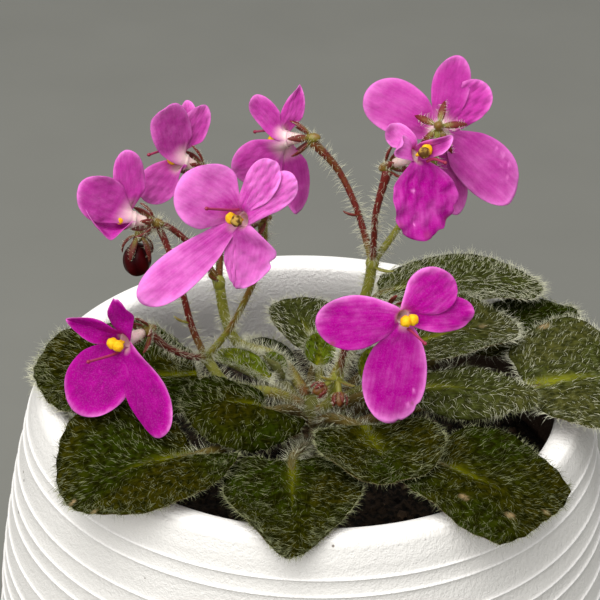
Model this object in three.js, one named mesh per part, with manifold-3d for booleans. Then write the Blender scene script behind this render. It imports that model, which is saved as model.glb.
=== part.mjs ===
// A potted african violet: a stoneware cover pot with soil, and a small hairy-leaved plant in
// bloom. Millimetres, +Z up, the origin at the middle of the pot's foot. The plant's own group
// has its origin on the pot's axis at the height of the rim, so a leaf at z = 2 lies 2 mm above it.
import * as THREE from 'three';
import { mergeVertices } from 'three/addons/utils/BufferGeometryUtils.js';
import Module from 'manifold-3d';

// ---- driving dimensions -------------------------------------------------------------------
const potHeight = 115;
const rimRadius = 55; // outer radius of the lip
const bellyRadius = 64.6;
const bellyHeight = 55;
const footRadius = 47;
const wallThickness = 6;
const floorThickness = 8;
const soilDepth = 23; // from the rim down to the soil
const seatGap = 0.3; // clearance between pieces that touch
const throatGap = 0.4; // clearance cut in a flower around its sepals, anthers and style
const leafThickness = 1;
const petalThickness = 0.7;
const petioleRadius = 1.1;
const largeLeaf = 15; // leaves longer than this get the finer blade
const stemRadius = 4; // the plant's short thick stem
const crownTop = -5;
const sliver = 0.07; // the joins are smoothed out up to this distance

const wasm = await Module();
wasm.setup();

// ---- shared shape tools -------------------------------------------------------------------
function paint(color, roughness) {
  return new THREE.MeshStandardMaterial({ color, roughness, metalness: 0 });
}

function toVector(point) {
  return new THREE.Vector3(...point);
}

function toSolid(geometry) {
  const bare = geometry.clone();
  bare.deleteAttribute('normal');
  bare.deleteAttribute('uv');
  const merged = mergeVertices(bare, 1e-4);
  const vertProperties = new Float32Array(merged.getAttribute('position').array);
  const triVerts = new Uint32Array(merged.index.array);
  return new wasm.Manifold(new wasm.Mesh({ numProp: 3, vertProperties, triVerts }));
}

// The body as a geometry, without the slivers that joining leaves and without loose scraps.
function toGeometry(solid) {
  const bodies = solid.simplify(sliver).decompose();
  bodies.sort((one, other) => other.volume() - one.volume());
  const mesh = bodies[0].getMesh();
  const geometry = new THREE.BufferGeometry();
  geometry.setAttribute('position', new THREE.BufferAttribute(mesh.vertProperties, 3));
  geometry.setIndex(new THREE.BufferAttribute(mesh.triVerts, 1));
  geometry.computeVertexNormals();
  return geometry;
}

function fuse(geometries) {
  let solid = toSolid(geometries[0]);
  for (const geometry of geometries.slice(1)) {
    solid = solid.add(toSolid(geometry));
  }
  return solid;
}

// A round stalk along a smooth curve through the points.
function stalk(points, radius, steps, sides = 6) {
  const section = new THREE.Shape();
  for (let i = 0; i < sides; i++) {
    const angle = (2 * Math.PI * i) / sides;
    const x = radius * Math.cos(angle);
    const y = radius * Math.sin(angle);
    if (i === 0) {
      section.moveTo(x, y);
    } else {
      section.lineTo(x, y);
    }
  }
  section.closePath();
  const extrudePath = new THREE.CatmullRomCurve3(points.map(toVector));
  return new THREE.ExtrudeGeometry(section, { steps, extrudePath, bevelEnabled: false });
}

// A ball squeezed to three half sizes, with its long axis along the direction.
function pod(centre, direction, length, girth, segments = 8, rings = 5) {
  const geometry = new THREE.SphereGeometry(1, segments, rings);
  geometry.scale(girth, length, girth);
  const up = new THREE.Vector3(0, 1, 0);
  geometry.applyQuaternion(new THREE.Quaternion().setFromUnitVectors(up, direction.clone().normalize()));
  geometry.translate(centre.x, centre.y, centre.z);
  return geometry;
}

// A slender spike from its root along the direction, for a sepal or a bract.
function spike(root, direction, length, girth) {
  const geometry = new THREE.ConeGeometry(girth, length, 3);
  geometry.translate(0, length / 2, 0);
  const up = new THREE.Vector3(0, 1, 0);
  geometry.applyQuaternion(new THREE.Quaternion().setFromUnitVectors(up, direction.clone().normalize()));
  geometry.translate(root.x, root.y, root.z);
  return geometry;
}

// A leaf blade or a petal: a round sheet drawn out from foot to tip, with its upper face towards
// face. Pairs give the left and the right side, seen from the foot: halves are their widths, edges
// the lift of their margins, lobes how far they reach back beside the foot. arch lifts the middle,
// hook drops the tip, taper narrows the foot, point narrows the tip, sway bends the blade to the
// left, and wave ruffles the margin (waves, height, phase).
function blade(spec) {
  const { foot, tip, face, halves, thickness, along, across } = spec;
  const { arch = 0, hook = 0, edges = [0, 0], lobes = [0, 0] } = spec;
  const { taper = 0, point = 0, sway = 0, wave = [0, 0, 0] } = spec;
  const chord = new THREE.Vector3().subVectors(tip, foot);
  const length = chord.length();
  chord.normalize();
  const up = face.clone().addScaledVector(chord, -face.dot(chord)).normalize();
  const side = new THREE.Vector3().crossVectors(up, chord);
  const place = (a, b) => {
    const x = a * Math.sqrt(1 - (b * b) / 2);
    const y = b * Math.sqrt(1 - (a * a) / 2);
    const u = (x + 1) / 2;
    const hand = y > 0 ? 0 : 1;
    const reach = x * x + y * y;
    const back = lobes[hand] * (1 - u) ** 2 * Math.min(1, Math.abs(y) * 2) ** 1.5;
    const narrow = (1 - taper * (1 - u) ** 1.5) * (1 - point * u * u);
    const bend = 4 * u * (1 - u);
    const edge = edges[hand] * y * y;
    const ruffle = wave[1] * reach * reach * Math.sin(wave[0] * Math.atan2(y, x) + wave[2]);
    const lift = arch * bend + edge + ruffle - hook * u ** 3;
    return foot
      .clone()
      .addScaledVector(chord, length * u - back)
      .addScaledVector(side, halves[hand] * y * narrow + sway * bend)
      .addScaledVector(up, lift);
  };
  const step = 0.02;
  const top = [];
  const bottom = [];
  for (let j = 0; j <= across; j++) {
    for (let i = 0; i <= along; i++) {
      const a = -1 + (2 * i) / along;
      const b = -1 + (2 * j) / across;
      const inner = 1 - step;
      const da = place(a * inner + step, b * inner).sub(place(a * inner - step, b * inner));
      const db = place(a * inner, b * inner + step).sub(place(a * inner, b * inner - step));
      const out = new THREE.Vector3().crossVectors(da, db).normalize();
      const centre = place(a, b);
      top.push(centre.clone().addScaledVector(out, thickness / 2));
      bottom.push(centre.clone().addScaledVector(out, -thickness / 2));
    }
  }
  return sheet(top, bottom, along, across);
}

// Closes two like grids of points into one body, with both faces split alike.
function sheet(top, bottom, along, across) {
  const row = along + 1;
  const under = top.length;
  const index = [];
  const quad = (p, q, r, s) => index.push(p, q, r, p, r, s);
  for (let j = 0; j < across; j++) {
    for (let i = 0; i < along; i++) {
      const p = j * row + i;
      index.push(p, p + 1, p + row + 1, p, p + row + 1, p + row);
      index.push(under + p, under + p + row + 1, under + p + 1);
      index.push(under + p, under + p + row, under + p + row + 1);
    }
  }
  for (let i = 0; i < along; i++) {
    const last = across * row + i;
    quad(under + i, under + i + 1, i + 1, i);
    quad(last, last + 1, under + last + 1, under + last);
  }
  for (let j = 0; j < across; j++) {
    const first = j * row;
    const last = first + along;
    quad(first, first + row, under + first + row, under + first);
    quad(under + last, under + last + row, last + row, last);
  }
  const geometry = new THREE.BufferGeometry();
  const numbers = [...top, ...bottom].flatMap((point) => point.toArray());
  geometry.setAttribute('position', new THREE.Float32BufferAttribute(numbers, 3));
  geometry.setIndex(index);
  return geometry;
}

// ---- pot and soil -------------------------------------------------------------------------
const potSegments = 28;
const ringDepths = [2, 6.6, 9.7, 15.8, 20.1, 23.5, 29.3, 34.7, 39, 43.5, 51, 59, 69, 82];
const ringHeight = 0.4;
const ringHalfWidth = 0.4;

// Outer radius of the pot's wall at a depth below the rim: it widens to the belly, then draws in.
function potRadius(depth) {
  const bellyDepth = potHeight - bellyHeight;
  if (depth < bellyDepth) {
    const t = 1 - depth / bellyDepth;
    return bellyRadius - (bellyRadius - rimRadius) * t ** 1.75;
  }
  const t = (depth - bellyDepth) / bellyHeight;
  return bellyRadius - (bellyRadius - footRadius - 3) * t ** 2.2;
}

function cavityRadius(depth) {
  return potRadius(depth) - wallThickness - 1;
}

function potGeometry() {
  const outline = [[0, 0], [footRadius, 0], [footRadius + 2.2, 0.9], [potRadius(potHeight - 4), 4]];
  for (const depth of [...ringDepths].reverse()) {
    const height = potHeight - depth;
    const radius = potRadius(depth);
    outline.push([radius, height - ringHalfWidth]);
    outline.push([radius + ringHeight, height]);
    outline.push([radius, height + ringHalfWidth]);
  }
  const lipRadius = wallThickness / 2;
  for (const angle of [25, 60, 90, 125, 160]) {
    const turn = THREE.MathUtils.degToRad(angle);
    const middle = rimRadius - lipRadius;
    outline.push([middle + lipRadius * Math.cos(turn), potHeight - 2 + 2 * Math.sin(turn)]);
  }
  outline.push([rimRadius - wallThickness, potHeight - 4.5]);
  for (const depth of [30, 60, 85, 100]) {
    outline.push([cavityRadius(depth), potHeight - depth]);
  }
  outline.push([footRadius - 6, floorThickness]);
  outline.push([0, floorThickness]);
  const points = outline.map(([x, y]) => new THREE.Vector2(x, y));
  const geometry = new THREE.LatheGeometry(points, potSegments);
  return geometry.rotateX(Math.PI / 2);
}

function soilGeometry() {
  const surface = potHeight - soilDepth;
  const clear = seatGap + 0.2;
  const holeRadius = stemRadius + seatGap + 0.1;
  const holeFloor = surface - 22;
  const outline = [[0, floorThickness + seatGap], [footRadius - 6 - clear, floorThickness + seatGap]];
  for (const depth of [100, 85, 60, 30]) {
    outline.push([cavityRadius(depth) - clear, potHeight - depth]);
  }
  outline.push([cavityRadius(27) - 1.5, surface - 1.5]);
  outline.push([16, surface + 1.5]);
  outline.push([holeRadius, surface + 1]);
  outline.push([holeRadius, holeFloor]);
  outline.push([0, holeFloor]);
  const points = outline.map(([x, y]) => new THREE.Vector2(x, y));
  return new THREE.LatheGeometry(points, potSegments).rotateX(Math.PI / 2);
}

const pot = new THREE.Mesh(potGeometry(), paint('#e6e0dc', 0.75));
pot.name = 'pot';
const soil = new THREE.Mesh(soilGeometry(), paint('#2a1c14', 0.95));
soil.name = 'soil';

// ---- crown --------------------------------------------------------------------------------
// The short thick stem that every leaf stalk and flower stalk grows from.
function crownGeometry(grow) {
  const foot = -soilDepth - 21.6;
  const outline = [
    [0, foot - grow],
    [stemRadius + grow, foot - grow],
    [stemRadius + grow, -soilDepth + 4],
    [stemRadius + 0.8 + grow, -12],
    [stemRadius + 0.3 + grow, crownTop - 2],
    [stemRadius - 2 + grow, crownTop + grow],
    [0, crownTop + 0.4 + grow],
  ];
  const points = outline.map(([x, y]) => new THREE.Vector2(x, y));
  return new THREE.LatheGeometry(points, 10).rotateX(Math.PI / 2);
}

const crown = new THREE.Mesh(crownGeometry(0), paint('#5d5a2a', 0.8));
crown.name = 'crown';
const crownRoom = toSolid(crownGeometry(seatGap));

// ---- leaves -------------------------------------------------------------------------------
// Each leaf: the height at which its stalk leaves the crown, the point that the stalk bends at, and
// its blade from the foot to the tip.
const leaves = [
  {
    name: 'leaf_front', root: -14.5, bend: [-2, -17, -6], foot: [-3.5, -32, 2], tip: [-3, -60, 1.3],
    halves: [14, 13.5], arch: 0.5, hook: 1, edges: [0.5, 0.5], lobes: [2, 2], point: 0.5,
  },
  {
    name: 'leaf_front_left', root: -12, bend: [-10, -16, -4], foot: [-21.5, -33, 3.5],
    tip: [-43.5, -46, 1.5], halves: [13, 18], arch: 1.5, hook: 1, edges: [0, 3], lobes: [9, 3],
    point: 0.1,
  },
  {
    name: 'leaf_front_right', root: -13, bend: [11, -16, -5], foot: [23, -32, 2.5],
    tip: [42.5, -48, 0.5], halves: [18, 12.5], arch: 1.5, hook: 1, edges: [1, 0], lobes: [4, 3],
    point: 0.1,
  },
  {
    name: 'leaf_left', root: -13, bend: [-12, 0, -6], foot: [-23, -1, 0.5], tip: [-54.5, -8, 3],
    halves: [18, 20.5], arch: 0.5, hook: 0, edges: [0, 1], lobes: [3, 3], point: 0.1,
  },
  {
    name: 'leaf_right', root: -13, bend: [20, -1, -6], foot: [42, -6, 3], tip: [70, -4, 3],
    halves: [22, 13.5], arch: 2, hook: 1, edges: [1, 1], lobes: [4, 1], point: 0.1,
  },
  {
    name: 'leaf_back_right', root: -13, bend: [7, 13, -5], foot: [14, 30, 3.5], tip: [49, 31, 6],
    halves: [10.5, 9], arch: 2, hook: 1, edges: [1, 1], lobes: [2, 2], point: 0.1,
  },
  {
    name: 'leaf_back_far_right', root: -14, bend: [15, 8, -8], foot: [30, 17, -1], tip: [56, 29, 2],
    halves: [9.5, 11], arch: 1, hook: 1, edges: [0, 0], lobes: [3, 3], point: 0.15,
  },
  {
    name: 'leaf_inner_left', root: -9, bend: [-4, -9, -2], foot: [-9, -17, 3.5], tip: [-24, -23.5, 6],
    halves: [9, 7.5], arch: 2, hook: 0, edges: [-3, 0], lobes: [8, 2],
  },
  {
    name: 'leaf_inner_front', root: -9, bend: [4, -10, -3], foot: [10, -22, 3],
    tip: [15.5, -43, 5], halves: [12, 12], arch: 0, hook: 0, edges: [3, 3], lobes: [2, 2],
  },
  {
    name: 'leaf_inner_right', root: -9, bend: [9, -4, -2], foot: [17, -10, 4], tip: [43, -17, 6.5],
    halves: [9, 4.5], arch: 1.5, hook: 0, edges: [0, -4], lobes: [2, 1], point: 0.1,
  },
  {
    name: 'leaf_upper_right', root: -10, bend: [9, 4.5, -3], foot: [18, 6, 4], tip: [41.5, 9, 7.5],
    halves: [12, 8.5], arch: 2, hook: 0, edges: [2, 1], lobes: [2, 2], point: 0.3,
  },
  {
    name: 'leaf_back', root: -12, bend: [-0.5, 7, -7], foot: [1, 11.5, 0], tip: [-6, 26, 3.4],
    halves: [6.5, 8], arch: 1, hook: 0, edges: [1, 1], lobes: [1, 1],
  },
  {
    name: 'leaf_back_left', root: -10, bend: [-3.9, 5.8, -8], foot: [-4.2, 8.5, -5.5],
    tip: [-13.2, 14.8, -0.5], halves: [4, 4.2], arch: 0.5, hook: 0, edges: [1.5, 1.5], lobes: [1, 1],
  },
  {
    name: 'leaf_small_back', root: -6.5, bend: [1.8, 4.8, -4.5], foot: [1.6, 6.5, -1],
    tip: [1.5, 10.5, 4.5], halves: [3.2, 3.2], arch: 0.5, hook: 0, edges: [1, 1],
  },
  {
    name: 'leaf_small_left', root: -9, bend: [-6, -1, -5], foot: [-8.5, -1, 0], tip: [-20, 0.5, 4.5],
    halves: [3.7, 3.5], arch: 0.5, hook: 0, edges: [1.5, 1.5], lobes: [1, 1],
  },
  {
    name: 'leaf_small_right', root: -7.4, bend: [6, 0.6, -5.2], foot: [11, 0.6, -1], tip: [13, 6, 4],
    halves: [2.5, 2.5], arch: 0.3, hook: 0, edges: [1, 1],
  },
  {
    name: 'leaf_young_back', root: -6.5, bend: [-4.2, 1.8, -4.5], foot: [-5.5, 2.4, -2], tip: [-10, 3, 3.5],
    halves: [1.8, 1.8], arch: 0.3, hook: 0, edges: [2, 2],
  },
];
const leafSheen = paint('#3a4722', 0.8);

function leafGeometry(leaf) {
  const foot = toVector(leaf.foot);
  const tip = toVector(leaf.tip);
  const bend = toVector(leaf.bend);
  const out = new THREE.Vector3(bend.x, bend.y, 0).normalize();
  const root = out.clone().multiplyScalar(stemRadius - 1).setZ(leaf.root);
  const chord = new THREE.Vector3().subVectors(tip, foot).normalize();
  const end = foot.clone().addScaledVector(chord, foot.distanceTo(tip) * 0.2);
  end.z += leaf.arch * 0.6 - 0.4;
  const path = [root, bend, foot.clone().add(new THREE.Vector3(0, 0, -0.2)), end];
  const large = foot.distanceTo(tip) > largeLeaf;
  const sheetSpec = {
    ...leaf,
    foot,
    tip,
    face: new THREE.Vector3(0, 0, 1),
    thickness: leafThickness,
    along: large ? 6 : 4,
    across: large ? 6 : 4,
  };
  const stem = stalk(path.map((point) => point.toArray()), petioleRadius, 4, 5);
  return toGeometry(fuse([blade(sheetSpec), stem]).subtract(crownRoom));
}

// ---- flower stalks ------------------------------------------------------------------------
// Each scape is one umbel: a peduncle from the crown, the pedicels that part at its node, small
// bracts beside the node or on a pedicel, and a calyx of five sepals at the end of each pedicel.
const flowers = [
  {
    name: 'flower_1', calyx: [-31, -19, 21], throat: [-35.5, -24.5, 21.5], style: [-41, -31, 21],
    face: [-0.3, -0.9, 0.35],
    petals: [
      { tip: [-45, -26, 27], width: 5.2, taper: 0.2, point: 0.4 },
      { tip: [-36, -25, 31], width: 5.5, taper: 0.1, point: 0.45 },
      { tip: [-43.4, -29, 9], width: 12.4, taper: 0.1 },
      { tip: [-27.5, -33, 6.5], halves: [5, 3.6], taper: 0.3 },
    ],
  },
  {
    name: 'flower_2', calyx: [-10, -15, 43], throat: [-14.2, -19.5, 44.8], style: [-20, -26, 50],
    face: [-0.1, -0.95, 0.4],
    petals: [
      { tip: [-24.5, -20, 52.5], width: 13, taper: 0.1 },
      { tip: [-8, -18, 56], width: 7, taper: 0.4 },
      { tip: [-4, -18.5, 53], width: 7, taper: 0.4 },
      { tip: [-32, -23, 29], width: 9, taper: 0.5 },
      { tip: [-13, -21, 31.6], halves: [8.6, 3.4], taper: 0.2, point: 0.6 },
    ],
  },
  {
    name: 'flower_3', calyx: [-31, -5, 36.5], throat: [-35.8, -6.2, 37.8], style: [-41.3, -7.6, 40.2],
    face: [-0.3, 0.9, -0.2],
    petals: [
      { tip: [-43.6, -10.5, 46.3], width: 9.4, taper: 0.2 },
      { tip: [-35.7, -4.5, 51], halves: [3.6, 2.8], taper: 0.1 },
      { tip: [-43.4, -9.5, 37.5], width: 6, taper: 0.2, face: [-0.2, -0.3, 1], arch: -1.5, hook: -4.5 },
    ],
  },
  {
    name: 'flower_4', calyx: [-22.5, 7, 42.5], throat: [-26.9, 6.3, 44.3], style: [-32.5, 2, 47],
    face: [-0.3, 0.9, -0.3],
    petals: [
      { tip: [-28.2, 2.5, 57.4], halves: [3.6, 5.2], taper: 0.3, lobes: [0, 2] },
      { tip: [-21.8, 8.5, 55], width: 5.4, taper: 0.2 },
      { tip: [-25, 10.5, 55], width: 4, taper: 0.2 },
      { tip: [-33.6, 3, 37.4], width: 8, taper: 0.2 },
    ],
  },
  {
    name: 'flower_5', calyx: [-2, 2, 51.5], throat: [-7.4, 3.2, 50.6], style: [-12.5, 7.5, 50],
    face: [-0.3, 0.9, -0.2],
    petals: [
      { tip: [-12.7, 2.5, 59.5], width: 4.8, taper: 0.1 },
      { tip: [-4.5, 5, 60.9], halves: [3.6, 1.9], point: 0.5 },
      { tip: [-15.6, 2, 42.8], halves: [4.6, 5.5], taper: 0.1 },
      { tip: [-4, 4.5, 34.5], halves: [2, 4], taper: 0 },
    ],
  },
  {
    name: 'flower_6', calyx: [22, -1.5, 56], throat: [23, 4, 52.5], style: [23, 10, 49],
    face: [-0.05, 0.9, -0.4],
    petals: [
      { tip: [8.5, 4, 60.6], width: 11.2, taper: 0.3 },
      { tip: [25.3, 7, 67], width: 8.2, taper: 0.4 },
      { tip: [31, 6, 61.8], width: 8.4, taper: 0.4 },
      { tip: [37.5, 4, 39], halves: [5, 6.8], taper: 0.3 },
      { tip: [27, 4, 35.5], width: 7, taper: 0.4 },
    ],
  },
  {
    name: 'flower_7', calyx: [13, -5, 49.5], throat: [18.4, -7.5, 53.2], style: [23, -11, 53],
    face: [0.3, -0.9, 0.3],
    petals: [
      { tip: [19.4, -12, 38], halves: [7.5, 6], taper: 0.2 },
      { tip: [12, -4, 57], width: 5, taper: 0.2 },
      { tip: [12.5, -10, 56.5], width: 4.5, taper: 0.2 },
      { tip: [24, -8, 56.5], width: 3.5, taper: 0.2 },
    ],
  },
  {
    name: 'flower_8', calyx: [14, -18, 26.4], throat: [16.6, -23.6, 27.6], style: [20, -30, 26],
    face: [0.05, -0.95, 0.35],
    petals: [
      { tip: [0.2, -26, 27.2], width: 11, taper: 0.3 },
      { tip: [24.2, -21, 35.8], width: 9.6, taper: 0.2 },
      { tip: [29, -22, 28.5], width: 7, taper: 0.2 },
      { tip: [14, -28, 8], width: 13, taper: 0.3 },
    ],
  },
];

const umbels = [
  {
    name: 'scape_1', stem: [[-1.5, -1, -6], [-8, -5, -0.5], [-16, -6.8, 1.5], [-21, -5, 7]],
    pedicels: [
      { to: 'flower_1', bends: [[-24, -11, 11], [-27.5, -15, 15]] },
      { to: 'flower_2', bends: [[-16.5, -8, 15], [-13, -11, 24], [-10, -13.5, 34]] },
      { to: 'flower_3', bends: [[-23.5, -5, 13.5], [-26, -5, 24], [-29.5, -4, 34]] },
    ],
    bracts: [{ root: [-23.8, -5, 15], tip: [-26.6, -5.4, 16.4] }],
  },
  {
    name: 'scape_2', stem: [[-0.5, 2, -6], [-7, 6.5, 0.5], [-15, 7, 3.5], [-17.5, 6.5, 9], [-19, 6, 18]],
    pedicels: [
      { to: 'flower_4', bends: [[-19, 8, 28], [-21, 9, 37]] },
      { to: 'bud', bends: [[-23, 5, 25], [-30, 3, 32]] },
    ],
    bracts: [{ root: [-18.8, 6, 18.4], tip: [-20.6, 4.2, 20.6] }],
  },
  {
    name: 'scape_3', stem: [[2, 1, -6], [5.5, 2.5, 1], [7.8, 2, 10], [10.4, 1, 20.5], [11, 0, 26.5]],
    pedicels: [
      { to: 'flower_5', bends: [[9, 1, 33], [7, 2, 38.5], [3.5, 3, 45]] },
      { to: 'flower_6', bends: [[15.5, 0, 34], [21, -2, 47]] },
      { to: 'flower_7', bends: [[11, -2, 32], [11, -4, 39]] },
    ],
    bracts: [
      { root: [11.3, 0, 26], tip: [14.2, -0.4, 25.6] },
      { root: [8.4, 1.4, 36.2], tip: [5.5, 0.8, 37] },
    ],
  },
  {
    name: 'scape_4', stem: [[1.5, -2, -6.5], [4, -5, -2], [5, -6, 4]],
    pedicels: [{ to: 'flower_8', bends: [[6.5, -10, 13.5], [10.5, -14, 20.5]] }],
    bracts: [
      { root: [5, -6.5, 4], tip: [2, -8, 5.4] },
      { root: [5.2, -6.5, 4], tip: [8, -8, 3.6] },
    ],
    smallBuds: [[1.6, -8.6, 2.8], [5.4, -9.4, 1.2]],
  },
];

const peduncleRadius = 1.1;
const pedicelRadius = 0.75;
const nodeRadius = 1.45; // the thickening where the pedicels part
const bractRadius = 0.75;
const smallBudRadius = 1.25;
const calyxRadius = 1.25;
const sepalLength = 4.4;
const sepalRadius = 0.65;
const sepalSpread = 0.7; // from the calyx's axis out to a sepal's root
const sepalLean = THREE.MathUtils.degToRad(38);
const tubeFootRadius = 0.8;
const tubeMouthRadius = 2.1;
const petalSpread = 0.9; // from the tube's axis out to a petal's foot
const petalSink = 0.6; // from the mouth down to a petal's foot
const antherRadius = 1.1;
const antherSpread = 0.7; // from the throat's axis out to an anther's centre
const antherRise = 1.45; // from the mouth out to the anthers' centres
const styleRadius = 0.35;
const styleSpread = 1.85; // from the throat's axis out to the style's foot
const styleRise = 0.35; // from the mouth out to the style's foot
const styleNeck = 1.6; // the straight length before the style bends
const stalkGreen = paint('#8a7a34', 0.7);
const petalPink = paint('#c93ab4', 0.55);
const antherYellow = paint('#f0c41c', 0.5);
const styleRed = paint('#8c1434', 0.5);
const budMaroon = paint('#3c0814', 0.45);

function axisOf(flower) {
  return toVector(flower.throat).sub(toVector(flower.calyx)).normalize();
}

// The five narrow sepals and the small cup behind a flower.
function calyxParts(calyx, axis, grow = 0) {
  const side = new THREE.Vector3(0, 0, 1).cross(axis).normalize();
  const parts = [pod(calyx, axis, calyxRadius + grow, calyxRadius + grow, 5, 3)];
  for (let i = 0; i < 5; i++) {
    const round = side.clone().applyAxisAngle(axis, (2 * Math.PI * (i + 0.3)) / 5);
    const direction = axis.clone().multiplyScalar(Math.cos(sepalLean));
    direction.addScaledVector(round, Math.sin(sepalLean));
    const root = calyx.clone().addScaledVector(round, sepalSpread);
    parts.push(spike(root, direction, sepalLength + 5 * grow, sepalRadius + 2 * grow));
  }
  return parts;
}

// The one large bud hangs from its calyx.
const bud = {
  calyx: toVector([-34, 0, 30.8]),
  axis: new THREE.Vector3(-0.1, 0, -1).normalize(),
  radius: 2.8,
  halfLength: 3.4,
  drop: 5,
};

function scapeGeometry(umbel) {
  const node = umbel.stem.at(-1);
  const parts = [
    stalk(umbel.stem, peduncleRadius, umbel.stem.length + 2, 5),
    pod(toVector(node), new THREE.Vector3(0, 0, 1), nodeRadius, nodeRadius, 5, 3),
  ];
  for (const pedicel of umbel.pedicels) {
    const flower = flowers.find((entry) => entry.name === pedicel.to);
    const calyx = flower ? toVector(flower.calyx) : bud.calyx;
    const axis = flower ? axisOf(flower) : bud.axis;
    const points = [node, ...pedicel.bends, calyx.toArray()];
    parts.push(stalk(points, pedicelRadius, points.length + 2, 5));
    parts.push(...calyxParts(calyx, axis));
  }
  for (const bract of umbel.bracts) {
    const root = toVector(bract.root);
    const reach = toVector(bract.tip).sub(root);
    parts.push(spike(root, reach, reach.length(), bractRadius));
  }
  for (const place of umbel.smallBuds ?? []) {
    const centre = toVector(place);
    const reach = centre.clone().sub(toVector(node));
    parts.push(stalk([node, place], pedicelRadius, 1, 5));
    parts.push(pod(centre, reach, smallBudRadius * 1.3, smallBudRadius, 5, 4));
  }
  return toGeometry(fuse(parts).subtract(crownRoom));
}

// ---- flowers ------------------------------------------------------------------------------
// A corolla is a short tube from the calyx that flares into petals, each rooted in the tube's mouth.
// A petal's width stands for two equal halves, and it may face its own way.
function corollaGeometry(flower) {
  const axis = axisOf(flower);
  const throat = toVector(flower.throat);
  const calyx = toVector(flower.calyx);
  const tubeLength = throat.distanceTo(calyx) - calyxRadius;
  const tube = new THREE.CylinderGeometry(tubeMouthRadius, tubeFootRadius, tubeLength, 6);
  tube.translate(0, -tubeLength / 2, 0);
  const up = new THREE.Vector3(0, 1, 0);
  tube.applyQuaternion(new THREE.Quaternion().setFromUnitVectors(up, axis));
  tube.translate(throat.x, throat.y, throat.z);
  const parts = [tube];
  for (const petal of flower.petals) {
    const tip = toVector(petal.tip);
    const out = tip.clone().sub(throat);
    out.addScaledVector(axis, -out.dot(axis)).normalize();
    const foot = throat.clone().addScaledVector(out, petalSpread).addScaledVector(axis, -petalSink);
    parts.push(blade({
      ...petal,
      foot,
      tip,
      face: toVector(petal.face ?? flower.face),
      halves: petal.halves ?? [petal.width / 2, petal.width / 2],
      thickness: petalThickness,
      along: 4,
      across: 4,
    }));
  }
  const calyxRoom = fuse(calyxParts(calyx, axis, throatGap));
  const room = antherSolid(flower, throatGap).add(pistilSolid(flower, throatGap)).add(calyxRoom);
  return toGeometry(fuse(parts).subtract(room));
}

// Two plump anthers side by side in front of the throat.
function antherSolid(flower, grow) {
  const axis = axisOf(flower);
  const side = new THREE.Vector3(0, 0, 1).cross(axis).normalize();
  const middle = toVector(flower.throat).addScaledVector(axis, antherRise);
  const parts = [-1, 1].map((hand) => {
    const centre = middle.clone().addScaledVector(side, antherSpread * hand);
    return pod(centre, axis, antherRadius + grow, antherRadius + grow, 5, 3);
  });
  return fuse(parts);
}

// The thin style, which leaves the throat below or above the anthers and bends to its tip.
function pistilSolid(flower, grow) {
  const axis = axisOf(flower);
  const throat = toVector(flower.throat);
  const tip = toVector(flower.style);
  const out = new THREE.Vector3(0, 0, 1).cross(axis).normalize().cross(axis);
  if (out.dot(tip.clone().sub(throat)) < 0) {
    out.negate();
  }
  const start = throat.clone().addScaledVector(axis, styleRise - grow);
  start.addScaledVector(out, styleSpread);
  const knee = start.clone().addScaledVector(axis, styleNeck + grow);
  return toSolid(stalk([start.toArray(), knee.toArray(), flower.style], styleRadius + grow, 4, 5));
}

// ---- the whole object ---------------------------------------------------------------------
const plant = new THREE.Group();
plant.position.z = potHeight;
plant.add(crown);

function addPiece(name, geometry, material) {
  const mesh = new THREE.Mesh(geometry, material);
  mesh.name = name;
  plant.add(mesh);
}

for (const leaf of leaves) {
  addPiece(leaf.name, leafGeometry(leaf), leafSheen);
}
for (const umbel of umbels) {
  addPiece(umbel.name, scapeGeometry(umbel), stalkGreen);
}
for (const flower of flowers) {
  addPiece(flower.name, corollaGeometry(flower), petalPink);
  addPiece(flower.name.replace('flower', 'anthers'), toGeometry(antherSolid(flower, 0)), antherYellow);
  addPiece(flower.name.replace('flower', 'pistil'), toGeometry(pistilSolid(flower, 0)), styleRed);
}
const budCentre = bud.calyx.clone().addScaledVector(bud.axis, bud.drop);
addPiece('bud', pod(budCentre, bud.axis, bud.halfLength, bud.radius, 10, 7), budMaroon);

const whole = new THREE.Group();
whole.add(pot, soil, plant);

export default whole;
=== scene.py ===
import math

import bmesh
import bpy
import numpy as np
from mathutils import Matrix, Vector


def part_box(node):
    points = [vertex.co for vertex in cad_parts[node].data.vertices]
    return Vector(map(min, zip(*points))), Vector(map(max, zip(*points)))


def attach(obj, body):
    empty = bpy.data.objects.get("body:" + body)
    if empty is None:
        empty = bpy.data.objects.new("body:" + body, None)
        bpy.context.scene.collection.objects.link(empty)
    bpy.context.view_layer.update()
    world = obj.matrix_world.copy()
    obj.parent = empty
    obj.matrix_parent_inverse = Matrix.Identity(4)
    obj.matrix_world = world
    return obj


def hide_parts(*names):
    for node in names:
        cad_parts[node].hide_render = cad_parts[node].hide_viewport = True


# A potted african violet. Lengths are in millimetres, and mm turns them into metres. The plant's
# places are measured from the pot's axis at the height of its lip, so z = 2 lies 2 mm above it.

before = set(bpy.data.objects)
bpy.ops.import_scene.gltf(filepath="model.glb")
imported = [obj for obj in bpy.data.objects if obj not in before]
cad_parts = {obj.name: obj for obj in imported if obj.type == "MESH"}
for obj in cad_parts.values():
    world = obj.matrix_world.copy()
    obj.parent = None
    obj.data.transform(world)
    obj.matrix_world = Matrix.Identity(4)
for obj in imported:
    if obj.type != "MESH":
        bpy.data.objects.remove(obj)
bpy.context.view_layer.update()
mm = 0.001
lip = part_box("pot")[1].z / mm

# ---- studio -------------------------------------------------------------------------------
# A pale matt floor under soft light: a wide softbox overhead and a little before the plant, a
# second one from the front left, and an even pale surround. Colours are shown plainly, because a
# filmic curve would grey the petals.

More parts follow.
